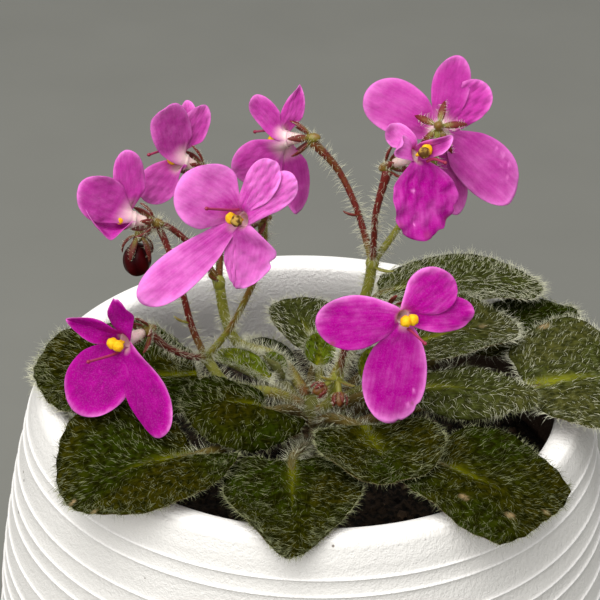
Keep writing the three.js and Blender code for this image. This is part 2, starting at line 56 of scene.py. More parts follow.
camera_data = bpy.data.cameras.new("camera")
camera_data.lens = 108
camera_data.sensor_width = 36
camera = bpy.data.objects.new("camera", camera_data)
camera_place = Matrix.Translation((-2.8 * mm, -307.9 * mm, 303.7 * mm))
camera_tilt = Matrix.Rotation(math.radians(90 - 29.03), 4, "X")
camera_roll = Matrix.Rotation(math.radians(1.52), 4, "Z")
camera.matrix_world = camera_place @ camera_tilt @ camera_roll
bpy.context.scene.collection.objects.link(camera)
bpy.context.scene.camera = camera


def add_softbox(name, place, target, size, watts, colour):
    light = bpy.data.lights.new(name, "AREA")
    light.size = size
    light.energy = watts
    light.color = colour
    lamp = bpy.data.objects.new(name, light)
    aim = (Vector(target) - Vector(place)).to_track_quat("-Z", "Y").to_matrix().to_4x4()
    lamp.matrix_world = Matrix.Translation(place) @ aim
    bpy.context.scene.collection.objects.link(lamp)


add_softbox("overhead_light", (-0.15, -0.35, 1.1), (0, 0, 0.12), 0.8, 10, (1.0, 0.985, 0.955))
add_softbox("front_light", (-0.5, -1.1, 0.8), (0, 0, 0.12), 0.9, 9, (1.0, 0.985, 0.965))

world = bpy.data.worlds.new("surround")
world.use_nodes = True
world.node_tree.nodes["Background"].inputs["Color"].default_value = (0.88, 0.88, 0.87, 1)
world.node_tree.nodes["Background"].inputs["Strength"].default_value = 0.72
bpy.context.scene.world = world
bpy.context.scene.view_settings.view_transform = "Standard"


def add_node(tree, kind, settings=None, **inputs):
    """Adds a shader node. An input takes a value, or the output socket that feeds it."""
    made = tree.nodes.new("ShaderNode" + kind)
    for key, value in (settings or {}).items():
        setattr(made, key, value)
    for key, value in inputs.items():
        socket = made.inputs[key.replace("_", " ")]
        if isinstance(value, bpy.types.NodeSocket):
            tree.links.new(value, socket)
        else:
            socket.default_value = value
    return made


def new_material(name, roughness, **plain):
    """A material whose plain values sit on the shader's own sockets."""
    material = bpy.data.materials.new(name)
    material.use_nodes = True
    shader = material.node_tree.nodes["Principled BSDF"]
    shader.inputs["Roughness"].default_value = roughness
    for key, value in plain.items():
        shader.inputs[key.replace("_", " ")].default_value = value
    return material, material.node_tree, shader


def mix_colours(tree, share, first, second):
    """The first colour where share is 0 and the second where it is 1."""
    mix = tree.nodes.new("ShaderNodeMix")
    mix.data_type = "RGBA"
    share_input, first_input, second_input, colour_output = 0, 6, 7, 2
    tree.links.new(share, mix.inputs[share_input])
    for index, value in ((first_input, first), (second_input, second)):
        if isinstance(value, bpy.types.NodeSocket):
            tree.links.new(value, mix.inputs[index])
        else:
            mix.inputs[index].default_value = (*value, 1)
    return mix.outputs[colour_output]


def band(tree, value, low, high, to_low=0, to_high=1):
    """value stretched from low..high to to_low..to_high, smoothly and clamped."""
    stretch = add_node(tree, "MapRange", {"interpolation_type": "SMOOTHSTEP"}, Value=value)
    stretch.inputs["From Min"].default_value = low
    stretch.inputs["From Max"].default_value = high
    stretch.inputs["To Min"].default_value = to_low
    stretch.inputs["To Max"].default_value = to_high
    return stretch.outputs["Result"]


def object_place(tree):
    """Where a point lies in the object's own frame."""
    return add_node(tree, "TexCoord").outputs["Object"]


def noise_at(tree, size, detail=3):
    """Cloudy noise with patches of about size millimetres."""
    coords = object_place(tree)
    return add_node(tree, "TexNoise", Vector=coords, Scale=1 / (size * mm), Detail=detail).outputs["Fac"]


def bump(tree, shader, height, depth, strength=1.0):
    """Raises the surface by height, where 1 stands for depth millimetres."""
    relief = add_node(tree, "Bump", Height=height, Distance=depth * mm, Strength=strength)
    tree.links.new(relief.outputs["Normal"], shader.inputs["Normal"])


def paint(tree, shader, colour):
    tree.links.new(colour, shader.inputs["Base Color"])


floor_material, tree, shader = new_material("pale_floor", 0.9)
cloud = noise_at(tree, 60)
floor_colour = mix_colours(tree, cloud, (0.158, 0.159, 0.142), (0.182, 0.183, 0.164))
paint(tree, shader, floor_colour)
floor_bm = bmesh.new()
bmesh.ops.create_grid(floor_bm, x_segments=2, y_segments=2, size=2.5)
floor_mesh = bpy.data.meshes.new("floor")
floor_bm.to_mesh(floor_mesh)
floor_bm.free()
floor_mesh.materials.append(floor_material)
floor = bpy.data.objects.new("floor", floor_mesh)
bpy.context.scene.collection.objects.link(floor)

# ---- pot ----------------------------------------------------------------------------------
# A thrown stoneware cover pot with a round lip, drawn in at the top, with fine raised rings
# turned round it. It is glazed matt white, and the glaze is grainy with a few dark specks. The
# crests of the rings are painted whiter as a painted highlight. The inner wall is painted whiter
# than the outside, partly for its own whiter glaze and partly as painted bounce light. On the
# right, down towards the soil, it turns near-black brown in blotches, as painted shade under the leaves.

rim_radius = 55
belly_radius = 64.6
belly_depth = 60
foot_radius = 47
wall = 6
floor_thickness = 8
ring_depths = (2, 6.6, 9.7, 15.8, 20.1, 23.5, 29.3, 34.7, 39, 43.5, 51, 59, 69, 82)
ring_height = 0.4
ring_half_width = 0.24


def pot_radius(depth):
    """Outer radius of the wall at a depth below the lip, without the rings."""
    if depth < belly_depth:
        return belly_radius - (belly_radius - rim_radius) * (1 - depth / belly_depth) ** 1.75
    fall = (depth - belly_depth) / (lip - belly_depth)
    return belly_radius - (belly_radius - foot_radius - 3) * fall**2.2


def cavity_radius(depth):
    return pot_radius(depth) - wall - 1


def spin_outline(bm, outline, steps, merge):
    """Turns an outline of (radius, height) points about the upright axis."""
    ring = [bm.verts.new((radius, 0, height)) for radius, height in outline]
    edges = [bm.edges.new(pair) for pair in zip(ring, ring[1:])]
    bmesh.ops.spin(
        bm, geom=ring + edges, cent=(0, 0, 0), axis=(0, 0, 1), dvec=(0, 0, 0),
        angle=2 * math.pi, steps=steps, use_merge=True,
    )
    bmesh.ops.remove_doubles(bm, verts=bm.verts, dist=merge)
    bmesh.ops.recalc_face_normals(bm, faces=bm.faces)


def smooth_faces(faces, slot=0):
    for face in faces:
        face.smooth = True
        face.material_index = slot


def turned(bm, outline, steps):
    """Turns an outline in millimetres about the pot's axis, in metres."""
    spin_outline(bm, [(radius * mm, height * mm) for radius, height in outline], steps, 1e-6)
    smooth_faces(bm.faces)


def finish_piece(name, bm, materials, node):
    """Makes an object of the mesh, which stands for a CAD node and stays where it is."""
    mesh = bpy.data.meshes.new(name)
    bm.to_mesh(mesh)
    bm.free()
    for material in materials:
        mesh.materials.append(material)
    piece = bpy.data.objects.new(name, mesh)
    bpy.context.scene.collection.objects.link(piece)
    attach(piece, "root")
    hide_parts(node)


pot_depths = {float(depth) for depth in np.arange(3.2, lip - 4, 1.6)}
for ring_depth in ring_depths[1:]:
    pot_depths = {depth for depth in pot_depths if abs(depth - ring_depth) > 0.9}
    pot_depths.update(ring_depth + ring_half_width * part for part in (-2, -1.3, -0.7, 0, 0.7, 1.3, 2))
outline = [(0, 0), (20, 0), (foot_radius - 2, 0), (foot_radius, 0.15), (foot_radius + 1.4, 0.7)]
outline.append((foot_radius + 2.2, 1.8))
for depth in sorted(pot_depths, reverse=True):
    raised = sum(math.exp(-(((depth - ring) / ring_half_width) ** 2)) for ring in ring_depths[1:])
    outline.append((pot_radius(depth) + ring_height * raised, lip - depth))
lip_radius = wall / 2
for angle in range(5, 176, 10):
    turn = math.radians(angle)
    radius = rim_radius - lip_radius + (lip_radius + 0.1) * math.cos(turn)
    outline.append((radius, lip - 2.05 + 2.05 * math.sin(turn)))
for depth in (3.4, 5, 8, 12, 18, 24, 30, 60, 85, 100):
    ease = min(1, (depth - 3) / 12)
    inner = (rim_radius - wall - 0.1) * (1 - ease) + cavity_radius(depth) * ease
    outline.append((inner, lip - depth))
outline.append((foot_radius - 6, floor_thickness))
outline.append((0, floor_thickness))
pot_bm = bmesh.new()
turned(pot_bm, outline, 144)
lit_crest = pot_bm.verts.layers.float.new("lit_crest")
lining = pot_bm.verts.layers.float.new("lining")
for vert in pot_bm.verts:
    turn = math.atan2(vert.co.y, vert.co.x)
    drop = vert.co.z / mm
    outside = math.hypot(vert.co.x, vert.co.y) / mm > pot_radius(max(0, lip - drop)) - 1
    near = min(abs(lip - drop - ring) for ring in ring_depths[1:])
    vert[lit_crest] = float(outside) * math.exp(-((near / ring_half_width) ** 2))
    vert[lining] = float(not outside)
    wobble = 0.998 + 0.0012 * math.sin(3 * turn + 0.04 * drop) + 0.0008 * math.sin(7 * turn + 1.3)
    vert.co.x *= wobble
    vert.co.y *= wobble


def layer_value(tree, name):
    """A value that the mesh holds for each of its points."""
    return add_node(tree, "Attribute", {"attribute_name": name}).outputs["Fac"]


def times(tree, first, second):
    product = add_node(tree, "Math", {"operation": "MULTIPLY"})
    tree.links.new(first, product.inputs[0])
    tree.links.new(second, product.inputs[1])
    return product.outputs[0]


def weighed(tree, value, weight, added):
    """value by its weight, with another value added."""
    total = add_node(tree, "Math", {"operation": "MULTIPLY_ADD"})
    tree.links.new(value, total.inputs[0])
    total.inputs[1].default_value = weight
    tree.links.new(added, total.inputs[2])
    return total.outputs[0]


glaze, tree, shader = new_material("white_glaze", 0.66, Specular_IOR_Level=0.35)
grain = noise_at(tree, 0.8, 4)
pits = noise_at(tree, 0.3, 2)
cloud = noise_at(tree, 14, 3)
matt = mix_colours(tree, cloud, (0.69, 0.675, 0.65), (0.75, 0.735, 0.71))
inside = layer_value(tree, "lining")
# Painted shade: on the right of the inner wall, from about 6 to 14 mm under the lip towards the soil, the
# colour turns near-black brown in blotches where the leaves shade it.
spot = add_node(tree, "SeparateXYZ", Vector=object_place(tree))
to_the_right = band(tree, spot.outputs["X"], 12 * mm, 36 * mm)
near_soil = band(tree, spot.outputs["Z"], (lip - 6) * mm, (lip - 14) * mm)
shade_region = times(tree, to_the_right, near_soil)
painted_shade = band(tree, weighed(tree, noise_at(tree, 5, 6), 1.1, shade_region), 0.75, 1.3)
# The inner wall's colour is whiter than the outside's, partly as painted bounce light.
lined = mix_colours(tree, painted_shade, (0.93, 0.915, 0.89), (0.05, 0.028, 0.016))
matt = mix_colours(tree, inside, matt, lined)
# Painted highlight: the crests of the outer rings are painted near white, brighter than the matt wall
# between them.
white = mix_colours(tree, band(tree, layer_value(tree, "lit_crest"), 0.2, 0.9), matt, (0.93, 0.915, 0.9))
speck_cells = add_node(tree, "TexVoronoi", Vector=object_place(tree), Scale=1 / (7 * mm), Randomness=1.0)
speck = band(tree, speck_cells.outputs["Distance"], 0.055, 0.03)
glaze_colour = mix_colours(tree, speck, white, (0.16, 0.13, 0.11))
paint(tree, shader, glaze_colour)
bump(tree, shader, weighed(tree, grain, 1.6, pits), 0.22, 0.7)
finish_piece("glazed_pot", pot_bm, [glaze], "pot")

# ---- soil ---------------------------------------------------------------------------------
# Loose dark potting soil that fills the pot to well under its lip, with crumbs and bits of bark
# on top, and a hole in the middle that the plant's stem stands in.

soil_depth = 23
stem_radius = 4
soil_top = lip - soil_depth
hole_radius = stem_radius + 0.4
outline = [(0, floor_thickness + 0.3), (foot_radius - 6.5, floor_thickness + 0.3)]
for depth in (100, 85, 60, 30):
    outline.append((cavity_radius(depth) - 0.5, lip - depth))
soil_edge = cavity_radius(27) - 1.5
for step in range(31):
    share = step / 30
    outline.append((soil_edge + (16 - soil_edge) * share, soil_top - 1.5 + 3 * share))
outline.extend([(12, soil_top + 1.4), (8, soil_top + 1.2), (hole_radius, soil_top + 1)])
outline.extend([(hole_radius, soil_top - 22), (0, soil_top - 22)])
soil_bm = bmesh.new()
grit = soil_bm.verts.layers.float.new("grit")
turned(soil_bm, outline, 96)
rng = np.random.default_rng(11)
for vert in soil_bm.verts:
    reach = math.hypot(vert.co.x, vert.co.y) / mm
    if vert.co.z > (soil_top - 2) * mm and reach > hole_radius + 1:
        vert.co.z += rng.uniform(-0.9, 0.5) * mm
        vert.co.x += rng.uniform(-0.3, 0.3) * mm
crumbs = 700
crumb_places = rng.uniform(-1, 1, (crumbs, 2)) * (soil_edge - 2)
crumb_sizes = rng.uniform(0.5, 1.7, crumbs)
for (x, y), size in zip(crumb_places, crumb_sizes):
    if not 7 < math.hypot(x, y) < soil_edge - 2:
        continue
    turn = Matrix.Rotation(rng.uniform(0, 6), 4, Vector(rng.normal(size=3)).normalized())
    squash = Matrix.Diagonal((size, size * rng.uniform(0.5, 1), size * rng.uniform(0.4, 0.8), 1))
    place = Matrix.Translation((x, y, soil_top + 0.9 - 2.2 * (math.hypot(x, y) / soil_edge) ** 2))
    made = bmesh.ops.create_icosphere(soil_bm, subdivisions=1, radius=1, matrix=place @ turn @ squash)
    bmesh.ops.scale(soil_bm, verts=made["verts"], vec=(mm, mm, mm))
    paleness = rng.uniform(0, 1)
    for vert in made["verts"]:
        vert[grit] = paleness

soil_material, tree, shader = new_material("potting_soil", 0.95, Specular_IOR_Level=0.2)
lumps = noise_at(tree, 1.1, 6)
earth = mix_colours(tree, band(tree, lumps, 0.4, 0.62), (0.003, 0.002, 0.001), (0.026, 0.016, 0.009))
bark = band(tree, noise_at(tree, 2.6, 3), 0.58, 0.7, 0, 0.5)
earth = mix_colours(tree, bark, earth, (0.055, 0.033, 0.018))
crumbly = mix_colours(tree, lumps, (0.02, 0.012, 0.007), (0.15, 0.095, 0.055))
earth = mix_colours(tree, band(tree, layer_value(tree, "grit"), 0.55, 1.0), earth, crumbly)
paint(tree, shader, earth)
bump(tree, shader, lumps, 1.0, 0.8)
finish_piece("soil_bed", soil_bm, [soil_material], "soil")

# ---- leaves -------------------------------------------------------------------------------
# Thick soft leaves on round stalks that rise from one short stem. A leaf is dark green on top
# with a sunk yellow-green midrib, paler and reddish below, and covered with long pale hairs.


class Blade:
    """A round sheet drawn out from foot to tip, with its upper face towards face. Pairs give the
    left and the right side, seen from the foot: halves are widths, edges the lift of the margins,
    lobes how far they reach back. arch lifts the middle, hook drops the tip, taper and point
    narrow the foot and the tip, sway bends the blade to the left, waves ruffle the margin, roll
    turns the tip, crease folds it along the midrib, crumple wrinkles it all over, veins sinks that
    many pairs of veins, glow lightens the flesh beside the midrib's foot, rib is half the width of
    the midrib, square fills out the corners, curls lift the two margins alone, wobble and scallop
    make the outline uneven, and nicks are notches: a turn from the tip, a depth and a width."""

    def __init__(self, foot, tip, face, halves, thickness, **shape):
        self.foot = np.array(foot, float)
        chord = np.array(tip, float) - self.foot
        self.length = np.linalg.norm(chord)
        self.chord = chord / self.length
        up = np.array(face, float)
        up -= self.chord * up.dot(self.chord)
        self.up = up / np.linalg.norm(up)
        self.side = np.cross(self.up, self.chord)
        self.halves = np.array(halves, float)
        self.thickness = thickness
        self.shape = shape

    def spread(self, a, b):
        """Where a place on the square grid lies on the round blade: along, across and reach."""
        round_off = (1 - self.shape.get("square", 0)) / 2
        x = a * np.sqrt(1 - round_off * b * b)
        y = b * np.sqrt(1 - round_off * a * a)
        reach = a * a + b * b - a * a * b * b
        around = np.arctan2(y, x)
        grow = 1 + self.shape.get("scallop", 0) * reach**2 * np.sin(26 * around + self.length)
        grow = grow + self.shape.get("wobble", 0) * reach**2 * np.sin(3 * around + self.length)
        for turn, depth, width in self.shape.get("nicks", ()):
            off = np.abs((around - turn + np.pi) % (2 * np.pi) - np.pi)
            grow = grow - depth * reach**3 * np.exp(-((off / width) ** 2))
        return (x * grow + 1) / 2, y * grow, reach

    def vein(self, u, y):
        """1 in the middle of a vein or the midrib, 0 between them."""
        pairs = self.shape.get("veins", 0)
        if not pairs:
            return np.zeros_like(u)
        sweep = u - 0.3 * np.abs(y) - 0.12 * y * y
        phase = np.abs(sweep * pairs - np.round(sweep * pairs)) / pairs * self.length
        fine = np.exp(-((phase / 0.55) ** 2)) * np.clip(np.abs(y) * 6, 0, 1) * (1 - np.abs(y) ** 3)
        off = y * self.halves.mean()
        rib_half = self.shape.get("rib", 1.3)
        rib = np.exp(-((off / (rib_half - 0.8 * u)) ** 2)) * np.clip(1.25 - 1.3 * u, 0, 1)
        glow = self.shape.get("glow", 0.5) * np.exp(-((off / 3.6) ** 2) - ((u - 0.25) / 0.35) ** 2)
        return np.maximum(np.maximum(0.45 * fine * (1 - u**4), glow), rib)

    def at(self, a, b):
        """Points of the middle surface, for arrays of grid places a along and b across."""
        shape = self.shape
        u, y, reach = self.spread(a, b)
        left = y > 0
        edges = shape.get("edges", (0, 0))
        lobes = shape.get("lobes", (0, 0))
        half = np.where(left, self.halves[0], self.halves[1])
        edge = np.where(left, edges[0], edges[1])
        lobe = np.where(left, lobes[0], lobes[1])
        back = lobe * (1 - u) ** 2 * np.minimum(1, np.abs(y) * 2) ** 1.5
        narrow = 1 - shape.get("taper", 0) * np.maximum(0, 1 - u) ** 1.5
        narrow = narrow * (1 - shape.get("point", 0) * u * u)
        bend = 4 * u * (1 - u)
        lift = shape.get("arch", 0) * bend + edge * y * y - shape.get("hook", 0) * u**3
        lift = lift + shape.get("crease", 0) * (np.abs(y) - 0.4)
        crumple = shape.get("crumple", 0)
        if crumple:
            lift = lift + crumple * np.sin(15 * u + 4 * y) * np.sin(11 * y - 6 * u + self.length)
            lift = lift + crumple * 0.5 * np.sin(28 * u - 9 * y + 2) * np.sin(21 * y + 5 * u)
        curls = shape.get("curls", (0, 0))
        lift = lift + np.where(left, curls[0], curls[1]) * y**4
        around = np.arctan2(y, 2 * u - 1)
        for waves, height, phase in shape.get("waves", ()):
            lift = lift + height * reach * reach * np.sin(waves * around + phase)
        if shape.get("veins", 0):
            lift = lift - shape.get("sink", 0.7) * self.vein(u, y) * (1 - reach**4)
            lift = lift + 0.2 * np.sin(9 * u + 5 * y + self.length) * np.sin(7 * y - 4 * u)
            lift = lift + 0.1 * np.sin(31 * u + 9 * y) * np.sin(27 * y - 8 * u) * (1 - reach**2)
        along = self.length * u - back
        roll = shape.get("roll", 0)
        if roll:
            turned_part = np.clip((u - 0.45) / 0.55, 0, 1) * roll
            radius = 0.55 * self.length / abs(roll)
            straight = np.minimum(u, 0.45) * self.length - back
            along = np.where(u > 0.45, straight + radius * np.sin(np.abs(turned_part)), along)
            lift = lift + np.sign(roll) * np.where(u > 0.45, radius * (1 - np.cos(turned_part)), 0)
        across = half * y * narrow + shape.get("sway", 0) * bend
        return (
            self.foot
            + along[:, None] * self.chord
            + across[:, None] * self.side
            + lift[:, None] * self.up
        )

    def outward(self, a, b):
        """The upper face's direction at grid places."""
        step = 0.02
        a = a * (1 - step)
        b = b * (1 - step)
        along = self.at(a + step, b) - self.at(a - step, b)
        across = self.at(a, b + step) - self.at(a, b - step)
        normal = np.cross(along, across)
        return normal / np.linalg.norm(normal, axis=1)[:, None]


def unit(vectors):
    return vectors / np.linalg.norm(vectors, axis=-1, keepdims=True)


def plant_mesh():
    """An empty mesh with what the plant's materials read: a surface map, which side a face is on,
    a tone that shades along the piece, its veins, and its marks."""
    bm = bmesh.new()
    bm.loops.layers.uv.new("surface")
    for name in ("under", "tone", "vein", "mark", "rim"):
        bm.verts.layers.float.new(name)
    return bm


def lay_surface(bm, faces, places, slot=0):
    """Gives each face its finish, and each corner its place on the surface map."""
    surface = bm.loops.layers.uv["surface"]
    smooth_faces(faces, slot)
    for face in faces:
        for loop in face.loops:
            loop[surface].uv = places[loop.vert]


def add_blade(bm, blade, cells, tone, marks=()):
    """A slab of square cells, drawn out to the blade and thinner towards its margin. A mark with a
    strength below zero lightens the tone instead."""
    flat = bmesh.ops.create_grid(bm, x_segments=cells, y_segments=cells, size=1)["verts"]
    faces = list({face for vert in flat for face in vert.link_faces})
    slab = bmesh.ops.solidify(bm, geom=faces, thickness=1)["geom"]
    verts = list({*flat, *(part for part in slab if isinstance(part, bmesh.types.BMVert))})
    place = np.array([vert.co[:] for vert in verts])
    a = place[:, 0]
    b = place[:, 1]
    under = np.abs(place[:, 2]) > 0.5
    u, y, reach = blade.spread(a, b)
    depth = blade.thickness / 2 * (1 - 0.8 * reach**5)
    normal = blade.outward(a, b)
    points = blade.at(a, b) + normal * (depth * np.where(under, -1, 1))[:, None]
    vein = blade.vein(u, y)
    mark = np.zeros_like(u)
    shade = tone(u, y, reach)
    for mark_u, mark_y, size, strength in marks:
        far = np.hypot((u - mark_u) * blade.length, (y - mark_y) * blade.halves.mean())
        spot = strength * np.clip(1.5 - far / size, 0, 1)
        mark = np.maximum(mark, spot)
        shade = shade - np.minimum(0, spot)
    layers = bm.verts.layers.float
    for i, vert in enumerate(verts):
        vert.co = points[i]
        vert[layers["under"]] = float(under[i])
        vert[layers["tone"]] = shade[i]
        vert[layers["vein"]] = vein[i]
        vert[layers["mark"]] = mark[i]
        vert[layers["rim"]] = reach[i]
    lay_surface(bm, {face for vert in verts for face in vert.link_faces}, dict(zip(verts, zip(u, y))))


def route(points, steps):
    """Points along a smooth curve through the given ones."""
    points = np.array(points, float)
    ends = np.vstack([2 * points[0] - points[1], points, 2 * points[-1] - points[-2]])
    path = []
    for i in range(len(points) - 1):
        before, start, end, after = ends[i : i + 4]
        gaps = [np.sqrt(np.linalg.norm(q - p)) for p, q in ((before, start), (start, end), (end, after))]
        leave = (start - before) / gaps[0] - (end - before) / (gaps[0] + gaps[1]) + (end - start) / gaps[1]
        arrive = (end - start) / gaps[1] - (after - start) / (gaps[1] + gaps[2]) + (after - end) / gaps[2]
        for t in np.linspace(0, 1, steps, endpoint=False):
            pull = t * t * (3 - 2 * t)
            swing = leave * (t**3 - 2 * t * t + t) + arrive * (t**3 - t * t)
            path.append(start + (end - start) * pull + swing * gaps[1])
    path.append(points[-1])
    return np.array(path)


def path_frames(path):
    """The direction of a path at each point, and two directions square to it."""
    forward = unit(np.gradient(path, axis=0))
    across = np.zeros_like(path)
    hint = np.array((0.3, 0.2, 1.0)) if abs(forward[0][2]) < 0.9 else np.array((1.0, 0.2, 0))
    for i, ahead in enumerate(forward):
        hint = hint - ahead * hint.dot(ahead)
        across[i] = hint / np.linalg.norm(hint)
        hint = across[i]
    return forward, across, np.cross(across, forward)


def add_stalk(bm, path, radii, tone, sides=12, slot=0):
    """A round stalk along a path: a flat grid rolled up and closed at both ends."""
    count = len(path)
    grid = bmesh.ops.create_grid(bm, x_segments=count - 1, y_segments=sides, size=1)["verts"]
    _, across, beside = path_frames(path)
    faces = {face for vert in grid for face in vert.link_faces}
    radii = np.array(radii, float)
    radii[0] = 0
    radii[-1] = 0
    at_vert = {}
    for vert in grid:
        i = round((vert.co.x + 1) / 2 * (count - 1))
        angle = math.pi * (vert.co.y + 1)
        at_vert[vert] = (i / (count - 1), angle / (2 * math.pi))
        vert.co = path[i] + radii[i] * (across[i] * math.cos(angle) + beside[i] * math.sin(angle))
        vert[bm.verts.layers.float["tone"]] = tone[i]
    lay_surface(bm, faces, at_vert, slot)
    bmesh.ops.remove_doubles(bm, verts=grid, dist=1e-4)


# A hair is a three-sided spike with two more rings along it, where it can bend.
hair_shape = bmesh.new()
bmesh.ops.create_cone(
    hair_shape, cap_ends=True, segments=3, radius1=1, radius2=0, depth=1,
    matrix=Matrix.Translation((0, 0, 0.5)),
)
bmesh.ops.remove_doubles(hair_shape, verts=hair_shape.verts, dist=1e-5)
hair_sides = [edge for edge in hair_shape.edges if abs(edge.verts[0].co.z - edge.verts[1].co.z) > 0.5]
bmesh.ops.subdivide_edges(hair_shape, edges=hair_sides, cuts=2)
hair_shape.verts.index_update()
hair_points = np.array([vert.co[:] for vert in hair_shape.verts])
hair_faces = [[vert.index for vert in face.verts] for face in hair_shape.faces]


def grow_hairs(bm, roots, directions, normals, lengths, girth, rng, slot, curl=0.3, settle=0.6):
    """Copies the hair's shape to each root. A hair sets out along its direction, curls aside and
    settles back against the surface, whose own direction is its normal."""
    directions = unit(directions)
    beside = unit(np.cross(directions, normals + rng.normal(size=directions.shape) * 0.05))
    above = np.cross(beside, directions)
    curls = rng.normal(size=len(roots)) * curl
    rise = hair_points[:, 2:3]
    thin = girth * (1.15 - 0.55 * rise)
    offsets = zip(roots, directions, beside, above, normals, lengths, curls)
    for root, ahead, left, up, normal, length, bend in offsets:
        points = root + length * (ahead * rise + left * bend * rise**2 - normal * settle * rise**2)
        points = points + thin * (left * hair_points[:, 0:1] + up * hair_points[:, 1:2])
        verts = [bm.verts.new(point) for point in points]
        for corners in hair_faces:
            face = bm.faces.new([verts[corner] for corner in corners])
            face.smooth = True
            face.material_index = slot


def hairs_on_blade(bm, blade, count, length, girth, rng, slot, stand=0.45):
    """Hairs that lie combed over the upper face, away from the midrib."""
    a = rng.uniform(-0.97, 0.97, count)
    b = rng.uniform(-0.97, 0.97, count)
    roots = blade.at(a, b)
    normal = blade.outward(a, b)
    along = unit(blade.at(a + 0.02, b) - roots)
    across = unit(blade.at(a, b + 0.02) - roots)
    swirl = 0.6 * np.sin(3.1 * a + 2.3 * b + blade.length) + 0.5 * np.sin(5.3 * b - 2.9 * a)
    sweep = np.clip(b * 3, -1, 1) * (0.5 + 0.5 * np.abs(b)) + swirl * 0.4
    away = along * (0.55 + 0.3 * swirl)[:, None] + across * sweep[:, None]
    away = unit(away) + rng.normal(size=roots.shape) * 0.2
    away = away + normal * rng.uniform(0.1, 2 * stand, (count, 1))
    roots = roots + normal * (blade.thickness / 2 - 0.08)
    lengths = length * rng.uniform(0.5, 1.2, count)
    grow_hairs(bm, roots, away, normal, lengths, girth, rng, slot, curl=0.55, settle=stand)


def fringe_on_blade(bm, blade, count, length, girth, rng, slot, rise=0.3):
    """Hairs that stand out all round the margin."""
    corner = rng.uniform(0, 2 * math.pi, count)
    scale = np.maximum(np.abs(np.cos(corner)), np.abs(np.sin(corner)))
    a = np.cos(corner) / scale
    b = np.sin(corner) / scale
    roots = blade.at(a * 0.985, b * 0.985)
    away = unit(roots - blade.at(a * 0.9, b * 0.9))
    normal = blade.outward(a, b)
    away = away + normal * rng.uniform(rise - 0.5, rise + 0.5, (count, 1))
    away = away + rng.normal(size=roots.shape) * 0.3
    lengths = length * rng.uniform(0.45, 1.3, count)
    grow_hairs(bm, roots, away, normal, lengths, girth, rng, slot, settle=0.15)


def hairs_on_stalk(bm, path, radii, per_mm, length, girth, rng, slot):
    """Hairs that stand out all round a stalk."""
    forward, across, beside = path_frames(path)
    total = np.linalg.norm(np.diff(path, axis=0), axis=1).sum()
    count = int(total * per_mm)
    spots = rng.uniform(0.02, 0.98, count) * (len(path) - 1)
    i = spots.astype(int)
    share = (spots - i)[:, None]
    middle = path[i] * (1 - share) + path[i + 1] * share
    angle = rng.uniform(0, 2 * math.pi, count)[:, None]
    radial = across[i] * np.cos(angle) + beside[i] * np.sin(angle)
    roots = middle + radial * (np.array(radii)[i][:, None] * 0.9)
    away = radial + rng.normal(size=roots.shape) * 0.22 + forward[i] * 0.15
    lengths = length * rng.uniform(0.5, 1.15, count)
    grow_hairs(bm, roots, away, forward[i], lengths, girth, rng, slot, curl=0.12, settle=0.1)


def lift_to_lip(bm):
    """Puts the plant's own places into the object's frame, in metres."""
    bmesh.ops.translate(bm, verts=bm.verts, vec=(0, 0, lip))
    bmesh.ops.scale(bm, verts=bm.verts, vec=(mm, mm, mm))


